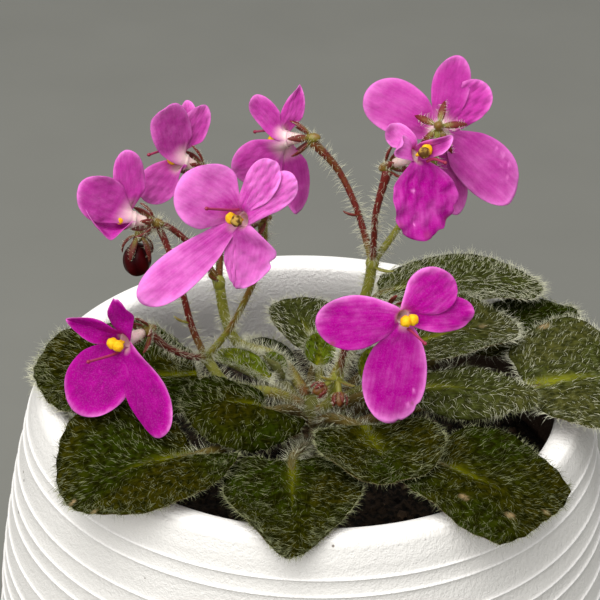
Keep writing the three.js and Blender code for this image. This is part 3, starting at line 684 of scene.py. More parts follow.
leaf_thickness = 1
petiole_radius = 1.1
large_leaf = 15
down_girth = 0.058
hair_girth = 0.05
leaves = [
    dict(
        name="leaf_front", root=-14.5, bend=(-2, -17, -6), foot=(-3.5, -32, 2), tip=(-3, -60, 1.3),
        halves=(14.6, 14.2), arch=0.5, hook=1, edges=(0.5, 0.5), lobes=(2, 2), point=0.75,
        waves=((5, 0.5, 1),),
    ),
    dict(
        name="leaf_front_left", root=-12, bend=(-10, -16, -4), foot=(-21.5, -33, 3.5),
        tip=(-43.5, -46, 1.5), halves=(13, 18), arch=1.5, hook=1, edges=(0, 3), curls=(0, 1),
        lobes=(9, 3), point=0.1, waves=((3, 0.6, 0), (7, 0.3, 2)),
        marks=((0.97, 0.1, 0.6, 1), (0.9, 0.55, 0.5, 0.6)),
    ),
    dict(
        name="leaf_front_right", root=-13, bend=(11, -16, -5), foot=(23, -32, 2.5),
        tip=(41.3, -47.6, 0.5), halves=(13.6, 12.3), arch=1.5, hook=1, edges=(1, 0), lobes=(4, 3),
        point=0, square=0.45, waves=((3, 0.7, 2), (7, 0.3, 1)),
        marks=((0.5, -0.55, 0.6, 0.9), (0.8, -0.3, 0.7, 0.8), (0.95, 0.2, 0.5, 0.7)),
    ),
    dict(
        name="leaf_left", frost=0.4, root=-13, bend=(-12, 0, -6), foot=(-23, -1, 0.5),
        tip=(-54.5, -8, 3), halves=(18, 20.5), arch=0.5, edges=(0, 1), lobes=(3, 3), point=0.1,
        waves=((6, 0.6, 1),),
    ),
    dict(
        name="leaf_right", frost=0.5, silver_and_sheen=0.6, rib=2.2, root=-13, bend=(20, -1, -6),
        foot=(42, -6, 3), tip=(67.2, -4, 3), halves=(22, 20), arch=2, hook=1, edges=(1, 1),
        lobes=(4, 1), point=0.1, waves=((5, 0.5, 0.5),), marks=((0.35, 0.9, 0.8, 1),),
    ),
    dict(
        name="leaf_back_right", frost=1.25, silver_and_sheen=1, root=-13, bend=(7, 13, -5), foot=(14, 30, 3.5),
        tip=(49, 31, 6), halves=(10.5, 11), arch=2, hook=1, edges=(1, 1), lobes=(2, 2), point=0.1,
        waves=((5, 0.4, 1),),
    ),
    dict(
        name="leaf_back_far_right", frost=0.6, root=-14, bend=(15, 8, -8), foot=(30, 17, -1),
        tip=(56, 29, 2), halves=(9.5, 11), arch=1, hook=1, lobes=(3, 3), point=0.15,
        waves=((5, 0.4, 2),),
    ),
    dict(
        name="leaf_inner_left", frost=0.5, root=-9, bend=(-4, -9, -2), foot=(-9, -17, 3.5),
        tip=(-24, -23.5, 6), halves=(10, 7.5), arch=2, edges=(-3, 0), lobes=(8, 2), curls=(-2, 1),
        square=0.15, waves=((5, 0.3, 2),),
    ),
    dict(
        name="leaf_inner_front", frost=0.2, glow=0.65, root=-9, bend=(4, -10, -3), foot=(10, -22, 3),
        tip=(15.5, -43, 5), halves=(12, 12), edges=(3, 3), lobes=(2, 2), waves=((6, 0.4, 1),),
    ),
    dict(
        name="leaf_inner_right", frost=0.85, silver_and_sheen=0.55, root=-9, bend=(9, -4, -2), foot=(17, -10, 4),
        tip=(43, -17, 6.5), halves=(9.5, 4.5), arch=1.5, edges=(-1, -4), lobes=(2, 1), point=0.1,
        waves=((5, 0.3, 0),),
    ),
    dict(
        name="leaf_upper_right", frost=0.5, silver_and_sheen=0.9, root=-10, bend=(9, 4.5, -3), foot=(18, 6, 4),
        tip=(41.5, 9, 7.5), halves=(12, 13.2), arch=2, edges=(2, 2), lobes=(2, 2), point=0.3,
        waves=((5, 0.3, 1),), marks=((0.7, 0.0, 0.7, 0.5),),
    ),
    dict(
        name="leaf_back", frost=0.6, silver_and_sheen=1, root=-12, bend=(-0.5, 7, -7), foot=(1, 11.5, 0),
        tip=(-6, 26, 3.4), halves=(6.5, 8), arch=1, edges=(1, 1), lobes=(1, 1),
    ),
    dict(
        name="leaf_back_left", frost=0.7, silver_and_sheen=1, root=-10, bend=(-3.9, 5.8, -8),
        foot=(-4.2, 8.5, -5.5), tip=(-13.2, 14.8, -0.5), halves=(4, 4.2), arch=0.5, edges=(1.5, 1.5),
        lobes=(1, 1),
    ),
    dict(
        name="leaf_small_back", frost=1, silver_and_sheen=0.3, root=-6.5, bend=(1.8, 4.8, -4.5),
        foot=(1.6, 6.5, -1), tip=(1.5, 10.5, 4.5), halves=(3.2, 3.2), arch=0.5, edges=(1, 1),
    ),
    dict(
        name="leaf_small_left", frost=1.5, silver_and_sheen=0.6, root=-9, bend=(-6, -1, -5), foot=(-8.5, -1, 0),
        tip=(-20, 0.5, 4.5), halves=(3.7, 3.5), arch=0.5, edges=(1.5, 1.5), lobes=(1, 1),
    ),
    dict(
        name="leaf_small_right", root=-7.4, bend=(6, 0.6, -5.2), foot=(11, 0.6, -1), tip=(13, 6, 4),
        halves=(2.5, 2.5), arch=0.3, edges=(1, 1),
    ),
    dict(
        name="leaf_young_back", frost=1.5, silver_and_sheen=0.6, root=-6.5, bend=(-4.2, 1.8, -4.5),
        foot=(-5.5, 2.4, -2), tip=(-10, 3, 3.5), halves=(1.8, 1.8), arch=0.3, edges=(2, 2),
    ),
]


def strokes_along(tree, scale, detail):
    """Noise drawn out from foot to tip: scale is how many patches lie along and across."""
    surface = add_node(tree, "UVMap", {"uv_map": "surface"}).outputs["UV"]
    stretch = add_node(tree, "Mapping", Vector=surface)
    stretch.inputs["Scale"].default_value = (*scale, 1)
    drawn = add_node(tree, "TexNoise", Vector=stretch.outputs["Vector"], Scale=1, Detail=detail)
    return drawn.outputs["Fac"]


def leaf_material(name, dark, light, fresher, rib, down, beneath=(0.17, 0.10, 0.06)):
    """Green leaf flesh under a sheen of short hairs, with its veins, underside and marks."""
    material, tree, shader = new_material(name, 0.8, Specular_IOR_Level=0.0)
    strokes = strokes_along(tree, (16, 44), 3)
    patches = noise_at(tree, 1.3, 5)
    drift = noise_at(tree, 20, 2)
    olive = mix_colours(tree, band(tree, patches, 0.32, 0.7), dark, light)
    fresh = mix_colours(tree, band(tree, patches, 0.32, 0.7), dark, fresher)
    green = mix_colours(tree, band(tree, drift, 0.4, 0.6), olive, fresh)
    ribbed = mix_colours(tree, band(tree, layer_value(tree, "vein"), 0.25, 1.0), green, rib)
    toned = mix_colours(tree, layer_value(tree, "tone"), ribbed, green)
    downy = mix_colours(tree, band(tree, strokes, 0.52, 0.75, 0, 0.45), toned, down)
    spotted = mix_colours(tree, layer_value(tree, "mark"), downy, (0.38, 0.27, 0.14))
    below = mix_colours(tree, patches, (0.13, 0.115, 0.05), beneath)
    paint(tree, shader, mix_colours(tree, layer_value(tree, "under"), spotted, below))
    bump(tree, shader, weighed(tree, strokes, 1, patches), 0.35, 0.9)
    return material


leaf_green = leaf_material(
    "leaf_flesh", (0.006, 0.0065, 0.0003), (0.03, 0.026, 0.0008), (0.018, 0.029, 0.001),
    (0.12, 0.125, 0.002), (0.055, 0.056, 0.01),
)
young_green = leaf_material(
    "young_leaf_flesh", (0.06, 0.075, 0.003), (0.15, 0.16, 0.007), (0.12, 0.18, 0.008),
    (0.26, 0.27, 0.01), (0.24, 0.26, 0.08), (0.17, 0.19, 0.05),
)
# A lighter copy of the leaf flesh for the large silvery leaves at the back and right: partly their silvery
# hair, partly a painted sheen where light falls across them.
silver_sheen_flesh = leaf_material(
    "silvery_sheen_leaf_flesh", (0.019, 0.021, 0.004), (0.07, 0.07, 0.016), (0.055, 0.066, 0.012),
    (0.2, 0.21, 0.01), (0.17, 0.175, 0.08),
)


def toned_skin(name, roughness, gloss, patches, low, high, relief):
    """A skin that turns from low to high as the tone rises, each in patches of two colours.
    patches gives their size and detail, relief the size and detail, depth and strength of bumps."""
    material, tree, shader = new_material(name, roughness, Specular_IOR_Level=gloss)
    patchy = noise_at(tree, *patches)
    first = mix_colours(tree, patchy, *low)
    second = mix_colours(tree, patchy, *high)
    paint(tree, shader, mix_colours(tree, layer_value(tree, "tone"), first, second))
    bump(tree, shader, noise_at(tree, *relief[:2]), *relief[2:])
    return material, shader


petiole_skin, _ = toned_skin(
    "leaf_stalk_skin", 0.55, 0.3, patches=(3, 3), low=((0.09, 0.09, 0.01), (0.17, 0.17, 0.02)),
    high=((0.055, 0.014, 0.005), (0.10, 0.03, 0.01)), relief=(0.5, 2, 0.1, 0.6),
)

pale_hair, tree, shader = new_material("pale_hair", 0.5, Specular_IOR_Level=0.3)
tint = noise_at(tree, 6, 2)
paint(tree, shader, mix_colours(tree, tint, (0.47, 0.48, 0.31), (0.86, 0.85, 0.68)))

leaf_down, tree, shader = new_material("leaf_down", 0.6, Specular_IOR_Level=0.1)
tint = band(tree, noise_at(tree, 1.3, 4), 0.38, 0.64)
paint(tree, shader, mix_colours(tree, tint, (0.05, 0.055, 0.014), (0.23, 0.245, 0.13)))

frosty_hair, tree, shader = new_material("frosty_hair", 0.6, Specular_IOR_Level=0.15)
tint = band(tree, noise_at(tree, 1.5, 3), 0.35, 0.65)
paint(tree, shader, mix_colours(tree, tint, (0.13, 0.14, 0.06), (0.36, 0.37, 0.21)))

down_per_area = 1.7
frost_per_area = 1.6
stalk_slot, pale_slot, down_slot, frost_slot = 1, 2, 3, 4
small_leaves = ("leaf_small_back", "leaf_small_left", "leaf_small_right", "leaf_young_back")
for number, leaf in enumerate(leaves):
    rng = np.random.default_rng(100 + number)
    known = ("name", "root", "bend", "marks", "frost", "silver_and_sheen")
    shape = {key: leaf[key] for key in leaf if key not in known}
    length = math.dist(leaf["foot"], leaf["tip"])
    large = length > large_leaf
    blade = Blade(
        face=(0, 0, 1), thickness=leaf_thickness, veins=6 if large else 4, scallop=0.008, **shape
    )
    bm = plant_mesh()
    cells = 44 if large else 24
    add_blade(bm, blade, cells, lambda u, y, reach: 0.75 * u, leaf.get("marks", ()))
    out = np.array((leaf["bend"][0], leaf["bend"][1], 0.0))
    root = out / np.linalg.norm(out) * (stem_radius - 1) + (0, 0, leaf["root"])
    end = blade.foot + blade.chord * length * 0.2 + (0, 0, leaf.get("arch", 0) * 0.6 - 1.2)
    path = route([root, leaf["bend"], blade.foot - (0, 0, 0.9), end], 9)
    along = np.linspace(0, 1, len(path))
    radii = petiole_radius * (1.12 - 0.35 * along)
    add_stalk(bm, path, radii, (0.75 if large else 0.35) - 0.4 * along, slot=stalk_slot)
    area = length * blade.halves.sum()
    behind = leaf["tip"][1] > -10
    fringe_per_mm = 9 if large else 20
    margin = int((length + blade.halves.sum()) * fringe_per_mm)
    frost = leaf.get("frost", 0.04)
    down = int(area * down_per_area * max(0, 1 - frost))
    silver_and_sheen = leaf.get("silver_and_sheen", 0)
    down_length = 2.5 if large else 1.5
    hairs_on_blade(bm, blade, down, down_length, down_girth, rng, down_slot)
    frost_length = 2.6 if large else 2.3
    # The silvery share of the hairs on the upper face takes the palest hair: partly silvery hair, partly a
    # painted sheen on the leaves that catch the light.
    for share, slot in ((1 - silver_and_sheen, frost_slot), (silver_and_sheen, pale_slot)):
        hairs = int(area * frost_per_area * frost * share)
        hairs_on_blade(bm, blade, hairs, frost_length, hair_girth, rng, slot, stand=0.5)
    # Leaves towards the back have longer margin hairs in the palest hair, as painted backlight. The front
    # ones have shorter, darker ones.
    fringe_length, slot = (2.4, pale_slot) if behind else (1.5, frost_slot)
    fringe_on_blade(bm, blade, margin, fringe_length, hair_girth, rng, slot)
    outer = path[3:]
    hairs_on_stalk(bm, outer, radii[3:], per_mm=8, length=2.3, girth=hair_girth, rng=rng, slot=frost_slot)
    middle = path[3:20]
    hairs_on_stalk(bm, middle, radii[3:], per_mm=6, length=2.6, girth=hair_girth, rng=rng, slot=pale_slot)
    lift_to_lip(bm)
    flesh = young_green if leaf["name"] in small_leaves else leaf_green
    # Large silvery leaves take the lighter flesh, partly as a painted sheen.
    if large and silver_and_sheen > 0.5:
        flesh = silver_sheen_flesh
    skins = [flesh, petiole_skin, pale_hair, leaf_down, frosty_hair]
    finish_piece("hairy_" + leaf["name"], bm, skins, leaf["name"])

# ---- crown --------------------------------------------------------------------------------
# The plant's short thick stem, which stands in the soil and carries every leaf and flower stalk.
# It is rough with the scars of old leaves and downy at the top.

crown_profile = ((-44.6, 3.7), (-30, 4), (-22, 4), (-12, 4.7), (-9, 4.6), (-7, 4.1), (-5.4, 2.4))
crown_bm = plant_mesh()
heights = np.arange(-44.4, -5.4, 0.65)
girths = np.interp(heights, [z for z, _ in crown_profile], [r for _, r in crown_profile])
scars = 0.22 * np.maximum(0, np.sin(heights * 2.1)) * (heights > -22)
outline = [(0, -44.6)]
outline.extend((girth - 0.15 + scar, z) for girth, scar, z in zip(girths, scars, heights))
outline.extend([(2.0, -5.1), (1.0, -4.8), (0, -4.65)])
turned(crown_bm, [(radius, z + lip) for radius, z in outline], 36)
for vert in crown_bm.verts:
    turn = math.atan2(vert.co.y, vert.co.x)
    knob = 1 - 0.03 * (1 + math.sin(5 * turn + vert.co.z / mm * 1.7))
    vert.co.x *= knob
    vert.co.y *= knob
    vert[crown_bm.verts.layers.float["tone"]] = 0.5
rng = np.random.default_rng(31)
tuft_hairs = 420
turns = rng.uniform(0, 2 * math.pi, tuft_hairs)
rises = rng.uniform(-13, -5.6, tuft_hairs)
flat = np.zeros(tuft_hairs)
radial = np.stack([np.cos(turns), np.sin(turns), flat], axis=1)
girths = np.interp(rises, [z for z, _ in crown_profile], [r for _, r in crown_profile])
roots = radial * (girths[:, None] - 0.5) + np.stack([flat, flat, rises], axis=1)
crown_hairs = bmesh.new()
upward = radial + np.array((0, 0, 0.7)) + rng.normal(size=radial.shape) * 0.2
lengths = rng.uniform(0.9, 2.0, tuft_hairs)
grow_hairs(crown_hairs, roots, upward, radial, lengths, hair_girth, rng, 1, settle=0.1)
lift_to_lip(crown_hairs)
tuft = bpy.data.meshes.new("crown_hairs")
crown_hairs.to_mesh(tuft)
crown_hairs.free()
crown_bm.from_mesh(tuft)
bpy.data.meshes.remove(tuft)
woody_skin, tree, shader = new_material("woody_stem_skin", 0.8, Specular_IOR_Level=0.15)
bark = noise_at(tree, 1.1, 5)
woody = mix_colours(tree, band(tree, bark, 0.36, 0.64), (0.03, 0.017, 0.008), (0.13, 0.085, 0.045))
height = add_node(tree, "SeparateXYZ", Vector=object_place(tree)).outputs["Z"]
greener = band(tree, height, (lip - 10) * mm, (lip - 5) * mm)
paint(tree, shader, mix_colours(tree, greener, woody, (0.1, 0.1, 0.02)))
bump(tree, shader, bark, 0.5, 0.8)
finish_piece("downy_crown", crown_bm, [woody_skin, frosty_hair], "crown")

# ---- flower stalks ------------------------------------------------------------------------
# Each stalk rises from the crown and parts into short ones, each with a small green cup of five
# pointed sepals at its end. The skin is juicy, green below and wine red above, with white hairs.

flowers = [
    dict(
        name="flower_1", calyx=(-31, -19, 21), throat=(-35.5, -24.5, 21.5), style=(-41, -31, 21),
        face=(-0.3, -0.9, 0.35), light=-0.3,
        petals=[
            dict(tip=(-45, -26, 27), width=5.2, taper=0.2, point=0.5, crease=1.6),
            dict(tip=(-36, -25, 31), width=5.5, taper=0.1, point=0.45, crease=-1.4),
            dict(
                tip=(-43.4, -29, 9), width=12.4, taper=0.1, pale=(0.4, 1.0),
                marks=((0.55, 0.25, 0.3, -0.6), (0.4, -0.1, 0.25, -0.5)),
            ),
            dict(tip=(-27.5, -33, 6.5), halves=(5, 3.6), taper=0.3, pale=(0.9, 1.0)),
        ],
    ),
    dict(
        name="flower_2", calyx=(-10, -15, 43), throat=(-14.2, -19.5, 44.8), style=(-20, -26, 50),
        face=(-0.1, -0.95, 0.4), light=0.5,
        petals=[
            dict(tip=(-24.5, -20, 52.5), width=13, taper=0.1, marks=((0.55, -0.2, 0.35, 0.25),)),
            dict(
                tip=(-8, -18, 56), width=7, taper=0.4, crumple=0.2, pale=(-0.8, 1.0),
                nicks=((-0.6, 0.06, 0.12),),
            ),
            dict(tip=(-4, -18.5, 53), width=7, taper=0.4, pale=(0, 0.9), crumple=0.15),
            dict(tip=(-32, -23, 29), width=9, taper=0.5, pale=(0, 1.0)),
            dict(
                tip=(-14.6, -21, 31.3), halves=(8.8, 3), taper=0.2, point=0.6,
                nicks=((1.5, 0.12, 0.1), (-0.5, 0.06, 0.1)), crumple=0.2, pale=(1, 0.9),
            ),
        ],
    ),
    dict(
        name="flower_3", calyx=(-31, -5, 36.5), throat=(-35.8, -6.2, 37.8), style=(-41.3, -7.6, 40.2),
        face=(-0.3, 0.9, -0.2), light=0.1,
        petals=[
            dict(tip=(-43.6, -10.5, 46.3), width=9.4, taper=0.2),
            dict(tip=(-35.7, -4.5, 51), halves=(3.6, 2.8), taper=0.1),
            dict(
                tip=(-43.4, -9.5, 37.5), width=6, taper=0.2, face=(-0.2, -0.3, 1), arch=-1.5, hook=-4.5,
            ),
        ],
    ),
    dict(
        name="flower_4", calyx=(-22.5, 7, 42.5), throat=(-26.9, 6.3, 44.3), style=(-32.5, 2, 47),
        face=(-0.3, 0.9, -0.3), light=0.25,
        petals=[
            dict(tip=(-28.2, 2.5, 57.4), halves=(3.6, 5.2), taper=0.3, lobes=(0, 2)),
            dict(tip=(-21.8, 8.5, 55), width=5.4, taper=0.2),
            dict(tip=(-25, 10.5, 55), width=4, taper=0.2),
            dict(tip=(-33.6, 3, 37.4), width=8, taper=0.2),
        ],
    ),
    dict(
        name="flower_5", calyx=(-2, 2, 51.5), throat=(-7.4, 3.2, 50.6), style=(-12.5, 7.5, 50),
        face=(-0.3, 0.9, -0.2), light=0.15,
        petals=[
            dict(tip=(-12.7, 2.5, 59.5), width=4.8, taper=0.1),
            dict(tip=(-3.8, 5, 60.9), halves=(2.8, 1.9), point=0.5),
            dict(tip=(-15.6, 2, 42.8), halves=(4.6, 5.5), taper=0.1),
            dict(tip=(-4, 4.5, 34.5), halves=(2, 4), taper=0),
        ],
    ),
    dict(
        name="flower_6", calyx=(22, -1.5, 56), throat=(23, 4, 52.5), style=(23, 10, 49),
        face=(-0.05, 0.9, -0.4), light=0.25, sepals=dict(lean=62, length=5.2),
        petals=[
            dict(tip=(8.5, 4, 60.6), width=11.2, taper=0.3, claw=0.2),
            dict(tip=(25.3, 7, 66.7), width=8.2, taper=0.4, light=0.0),
            dict(tip=(31, 6, 61.8), width=8.4, taper=0.4, light=0.05, crumple=0.2),
            dict(
                tip=(37.5, 4, 39), halves=(5, 6.8), taper=0.3, claw=0.12,
                marks=(
                    (0.6, -0.75, 0.4, -0.7), (0.72, -0.65, 0.35, -0.7), (0.5, -0.8, 0.3, -0.6),
                    (0.8, -0.35, 0.35, -0.5), (0.66, -0.5, 0.3, -0.5),
                ),
            ),
            dict(tip=(27, 4, 35.5), width=7, taper=0.4, claw=0.12),
        ],
    ),
    dict(
        name="flower_7", calyx=(13, -5, 49.5), throat=(18.4, -7.5, 53.2), style=(23, -11, 53),
        face=(0.3, -0.9, 0.3), light=0.1,
        petals=[
            dict(
                tip=(19.4, -12, 38), halves=(7.5, 6), taper=0.2, pale=(3.1, 0.3),
                waves=((4, 0.9, 1), (9, 0.5, 2), (13, 0.3, 0)), wobble=0.035, crumple=0.3,
                nicks=((0.5, 0.06, 0.1), (1.3, 0.08, 0.09), (-0.7, 0.05, 0.1), (-1.2, 0.04, 0.1)),
                marks=(
                    (0.38, -0.26, 0.4, -0.9), (0.8, -0.22, 0.25, -0.7), (0.8, 0.75, 0.7, 0.3),
                    (0.95, 0.1, 0.8, 0.3), (0.8, -0.7, 0.6, 0.3),
                ),
            ),
            dict(tip=(12, -4, 57), width=5, taper=0.2, light=0.5, roll=1.2),
            dict(tip=(12.5, -10, 56.5), width=4.5, taper=0.2, light=0.5, roll=1.6),
            dict(tip=(24, -8, 56.5), width=3.5, taper=0.2, light=0.3, crease=1.2),
        ],
    ),
    dict(
        name="flower_8", calyx=(14, -18, 26.4), throat=(16.6, -23.6, 27.6), style=(20, -30, 26),
        face=(0.05, -0.95, 0.35), light=0.05,
        petals=[
            dict(
                tip=(0.2, -26, 27.2), width=11, taper=0.3, pale=(-1.6, 1.0),
                marks=((0.82, 0.7, 0.5, 0.6),),
            ),
            dict(tip=(24.2, -21, 35.8), width=9.6, taper=0.2, pale=(1.9, 1.2), crumple=0.12),
            dict(
                tip=(29, -22, 28.5), width=7, taper=0.2, pale=(-1, 0.5),
                waves=((3, 0.6, 1), (7, 0.3, 2)),
            ),
            dict(
                tip=(14, -28, 8), width=13, taper=0.3, pale=(0.6, 1.3),
                nicks=((0.9, 0.05, 0.08), (0.3, 0.04, 0.07)),
                marks=((0.65, 0.62, 0.35, -0.8), (0.8, 0.5, 0.3, -0.7), (0.78, 0.62, 0.3, 0.6)),
            ),
        ],
    ),
]
bud_calyx = np.array((-34, 0, 30.8))
bud_axis = unit(np.array((-0.1, 0, -1.0)))

umbels = [
    dict(
        name="scape_1", stem=[(-1.5, -1, -6), (-8, -5, -0.5), (-16, -6.8, 1.5), (-21, -5, 7)],
        pedicels=[
            dict(to="flower_1", bends=[(-24, -11, 11), (-27.5, -15, 15)], red=0.95),
            dict(to="flower_2", bends=[(-16.5, -8, 15), (-13, -11, 24), (-10, -13.5, 34)], red=0.5),
            dict(to="flower_3", bends=[(-23.5, -5, 13.5), (-26, -5, 24), (-29.5, -4, 34)], red=0.85),
        ],
        bracts=[((-23.8, -5, 15), (-26.6, -5.4, 16.4), -0.2)],
    ),
    dict(
        name="scape_2",
        stem=[(-0.5, 2, -6), (-7, 6.5, 0.5), (-15, 7, 3.5), (-17.5, 6.5, 9), (-19, 6, 18)],
        pedicels=[
            dict(to="flower_4", bends=[(-19, 8, 28), (-21, 9, 37)], red=0.95),
            dict(to="bud", bends=[(-23, 5, 25), (-30, 3, 32)], red=0.95),
        ],
        bracts=[((-18.8, 6, 18.4), (-20.6, 4.2, 20.6), 0.1)],
    ),
    dict(
        name="scape_3", stem=[(2, 1, -6), (5.5, 2.5, 1), (7.8, 2, 10), (10.4, 1, 20.5), (11, 0, 26.5)],
        pedicels=[
            dict(to="flower_5", bends=[(9, 1, 33), (7, 2, 38.5), (3.5, 3, 45)], red=0.75),
            dict(to="flower_6", bends=[(15.5, 0, 34), (21, -2, 47)], red=0.25),
            dict(to="flower_7", bends=[(11, -2, 32), (11, -4, 39)], red=1.0),
        ],
        bracts=[((11.3, -0.6, 26), (14.6, -2, 26), -0.6), ((8.4, 1.4, 36.2), (5.5, 0.8, 37), 0.4)],
    ),
    dict(
        name="scape_4", stem=[(1.5, -2, -6.5), (4, -5, -2), (5, -6, 4)],
        pedicels=[dict(to="flower_8", bends=[(6.5, -10, 13.5), (10.5, -14, 20.5)], red=0.8)],
        bracts=[((5, -6.5, 4), (2, -8, 5.4), -0.3), ((5.2, -6.5, 4), (8, -8, 3.6), -0.2)],
        small_buds=[(1.6, -8.6, 2.8), (5.4, -9.4, 1.2)],
    ),
]

peduncle_radius = 1.1
pedicel_radius = 0.72
calyx_radius = 1.25
stalk_hair = 2.5
hair_slot = 1


def aimed(axis):
    """A turn that brings the upright axis onto this one."""
    return Vector(axis).to_track_quat("Z", "Y").to_matrix().to_4x4()


def mouth_frame(flower):
    """The throat, the direction that the flower opens in, and the level direction beside it."""
    throat = np.array(flower["throat"], float)
    axis = unit(throat - np.array(flower["calyx"], float))
    side = unit(np.cross((0, 0, 1), axis))
    return throat, axis, side


def add_pod(bm, centre, axis, half_length, radius, tone, knob=0.0):
    """A round body with its long way along axis, a little uneven."""
    place = Matrix.Translation(centre) @ aimed(axis) @ Matrix.Diagonal((radius, radius, half_length, 1))
    made = bmesh.ops.create_uvsphere(bm, u_segments=18, v_segments=12, radius=1, matrix=place)
    for vert in made["verts"]:
        if knob:
            lump = 1 + knob * math.sin(5 * vert.co.x + 3 * vert.co.y) * math.sin(4 * vert.co.z)
            vert.co = Vector(centre) + (vert.co - Vector(centre)) * lump
        vert[bm.verts.layers.float["tone"]] = tone
    smooth_faces({face for vert in made["verts"] for face in vert.link_faces})
    return made["verts"]


def add_sepal(bm, root, direction, inner, length, half, rng, hairs=26, bow=0.5, red=0.4):
    """A narrow pointed blade with a few hairs. inner is the way that its hollow face looks."""
    tip = np.array(root) + unit(np.array(direction)) * length
    blade = Blade(
        foot=root, tip=tip, face=inner, halves=(half, half), thickness=0.4,
        edges=(0.25, 0.25), taper=0.15, point=0.62, arch=-bow,
    )
    add_blade(bm, blade, 10, lambda u, y, reach: np.clip(red + 0.5 * y * y + 0.5 * u, 0, 1))
    a = rng.uniform(-0.9, 0.95, hairs)
    b = rng.uniform(-1, 1, hairs)
    normal = blade.outward(a, b)
    roots = blade.at(a, b) - normal * 0.1
    away = unit(blade.at(a, b) - blade.at(a, b * 0.8) + 1e-6) * 0.8 - normal * 0.7
    away = away + rng.normal(size=roots.shape) * 0.25
    lengths = rng.uniform(0.5, 1.3, hairs)
    grow_hairs(bm, roots, away, -normal, lengths, hair_girth * 0.8, rng, hair_slot, settle=0.1)


def add_calyx(bm, calyx, axis, rng, lean=38, length=4.5, bow=0.5):
    """The cup and its five sepals, which lean out along the flower's tube."""
    side = unit(np.cross((0, 0, 1), axis))
    beside = np.cross(axis, side)
    add_pod(bm, calyx - axis * 0.6, axis, calyx_radius * 1.4, calyx_radius * 0.76, 0.5)
    cup = np.array([calyx - axis * drop for drop in (1.6, 1.1, 0.6, 0.1)])
    cup_radii = np.array((0.7, 0.95, 1.0, 0.95))
    hairs_on_stalk(bm, cup, cup_radii, 16, 1.5, hair_girth, rng, hair_slot)
    lean = math.radians(lean)
    for i in range(5):
        turn = 2 * math.pi * (i + 0.3) / 5
        out = side * math.cos(turn) + beside * math.sin(turn)
        root = calyx + out * 0.72 - axis * 0.25
        way = axis * math.cos(lean) + out * math.sin(lean)
        reach = length * rng.uniform(0.96, 1.04)
        add_sepal(bm, root, way, axis - out * 0.8, reach, 0.82, rng, bow=bow)


def let_light_in(shader, weight, colour, depth):
    """Light soaks this many millimetres into the flesh, further in the stronger colours."""
    shader.inputs["Subsurface Weight"].default_value = weight
    shader.inputs["Subsurface Radius"].default_value = colour
    shader.inputs["Subsurface Scale"].default_value = depth * mm


stalk_skin, tree, shader = new_material("flower_stalk_skin", 0.42, Specular_IOR_Level=0.45)
patches = noise_at(tree, 2.2, 3)
lines = strokes_along(tree, (6, 26), 2)
fresh = mix_colours(tree, patches, (0.16, 0.17, 0.012), (0.30, 0.29, 0.04))
wine = mix_colours(tree, lines, (0.07, 0.004, 0.003), (0.21, 0.018, 0.01))
redness = band(tree, weighed(tree, patches, 0.7, layer_value(tree, "tone")), 0.55, 1.15)
paint(tree, shader, mix_colours(tree, redness, fresh, wine))
bump(tree, shader, lines, 0.08, 0.5)
let_light_in(shader, 0.15, (1.0, 0.5, 0.2), 0.6)

for number, umbel in enumerate(umbels):
    rng = np.random.default_rng(200 + number)
    bm = plant_mesh()
    node = np.array(umbel["stem"][-1], float)
    path = route(umbel["stem"], 8)
    along = np.linspace(0, 1, len(path))
    radii = peduncle_radius * (1.12 - 0.17 * along)
    add_stalk(bm, path, radii, 0.1 + 0.45 * np.clip(1 - 1.6 * along, 0, 1), sides=14)
    hairs_on_stalk(bm, path, radii, 12, stalk_hair, hair_girth, rng, hair_slot)
    hairs_on_stalk(bm, path[: len(path) // 2], radii, 16, stalk_hair, hair_girth, rng, hair_slot)
    add_pod(bm, node, path[-1] - path[-3], 1.9, 1.3, 0.15, knob=0.04)
    for pedicel in umbel["pedicels"]:
        flower = next((entry for entry in flowers if entry["name"] == pedicel["to"]), None)
        calyx = np.array(flower["calyx"], float) if flower else bud_calyx
        axis = mouth_frame(flower)[1] if flower else bud_axis
        path = route([node, *pedicel["bends"], calyx], 9)
        along = np.linspace(0, 1, len(path))
        radii = pedicel_radius * (1.08 - 0.22 * np.sin(along * 3) + 0.5 * along**9)
        tone = pedicel["red"] * np.clip(0.35 + 2.2 * along, 0, 1) - 0.25 * along**8
        add_stalk(bm, path, radii, tone, sides=12)
        hairs_on_stalk(bm, path, radii, 11, stalk_hair, hair_girth, rng, hair_slot)
        if flower:
            add_calyx(bm, calyx, axis, rng, **flower.get("sepals", {}))
        else:
            add_calyx(bm, calyx, axis, rng, lean=28, length=5, bow=0.9)
    for root, tip, red in umbel["bracts"]:
        reach = np.array(tip) - np.array(root)
        add_sepal(bm, root, reach, (0, 0.3, 1), np.linalg.norm(reach) + 0.6, 0.8, rng, 12, red=red)
    for place in umbel.get("small_buds", ()):
        reach = np.array(place) - node
        stem = route([node, node + reach * 0.5 + (0, 0, 0.3), place], 5)
        add_stalk(bm, stem, np.full(len(stem), 0.62), np.full(len(stem), 0.3), sides=10)
        add_pod(bm, place, reach, 1.6, 1.1, 0.65, knob=0.06)
        ahead = unit(reach)
        side = unit(np.cross((0, 0, 1), ahead))
        fifth_turn = 1.257
        for part in range(5):
            turn = part * fifth_turn
            out = side * math.cos(turn) + np.cross(ahead, side) * math.sin(turn)
            root = np.array(place) - ahead * 1.2 + out * 0.9
            add_sepal(bm, root, ahead + out * 0.12, -out, 2.6, 0.55, rng, 18)
    lift_to_lip(bm)
    finish_piece("hairy_" + umbel["name"], bm, [stalk_skin, pale_hair], umbel["name"])

# ---- corollas -----------------------------------------------------------------------------
# Each flower is one short pale tube that opens into soft petals. They are deep magenta round
# the throat and lighter towards the margins, partly in their own colour and partly as painted
# light, with faint veins, a fine sparkle of cells put in as painted glints, and painted shade
# along the very edge.

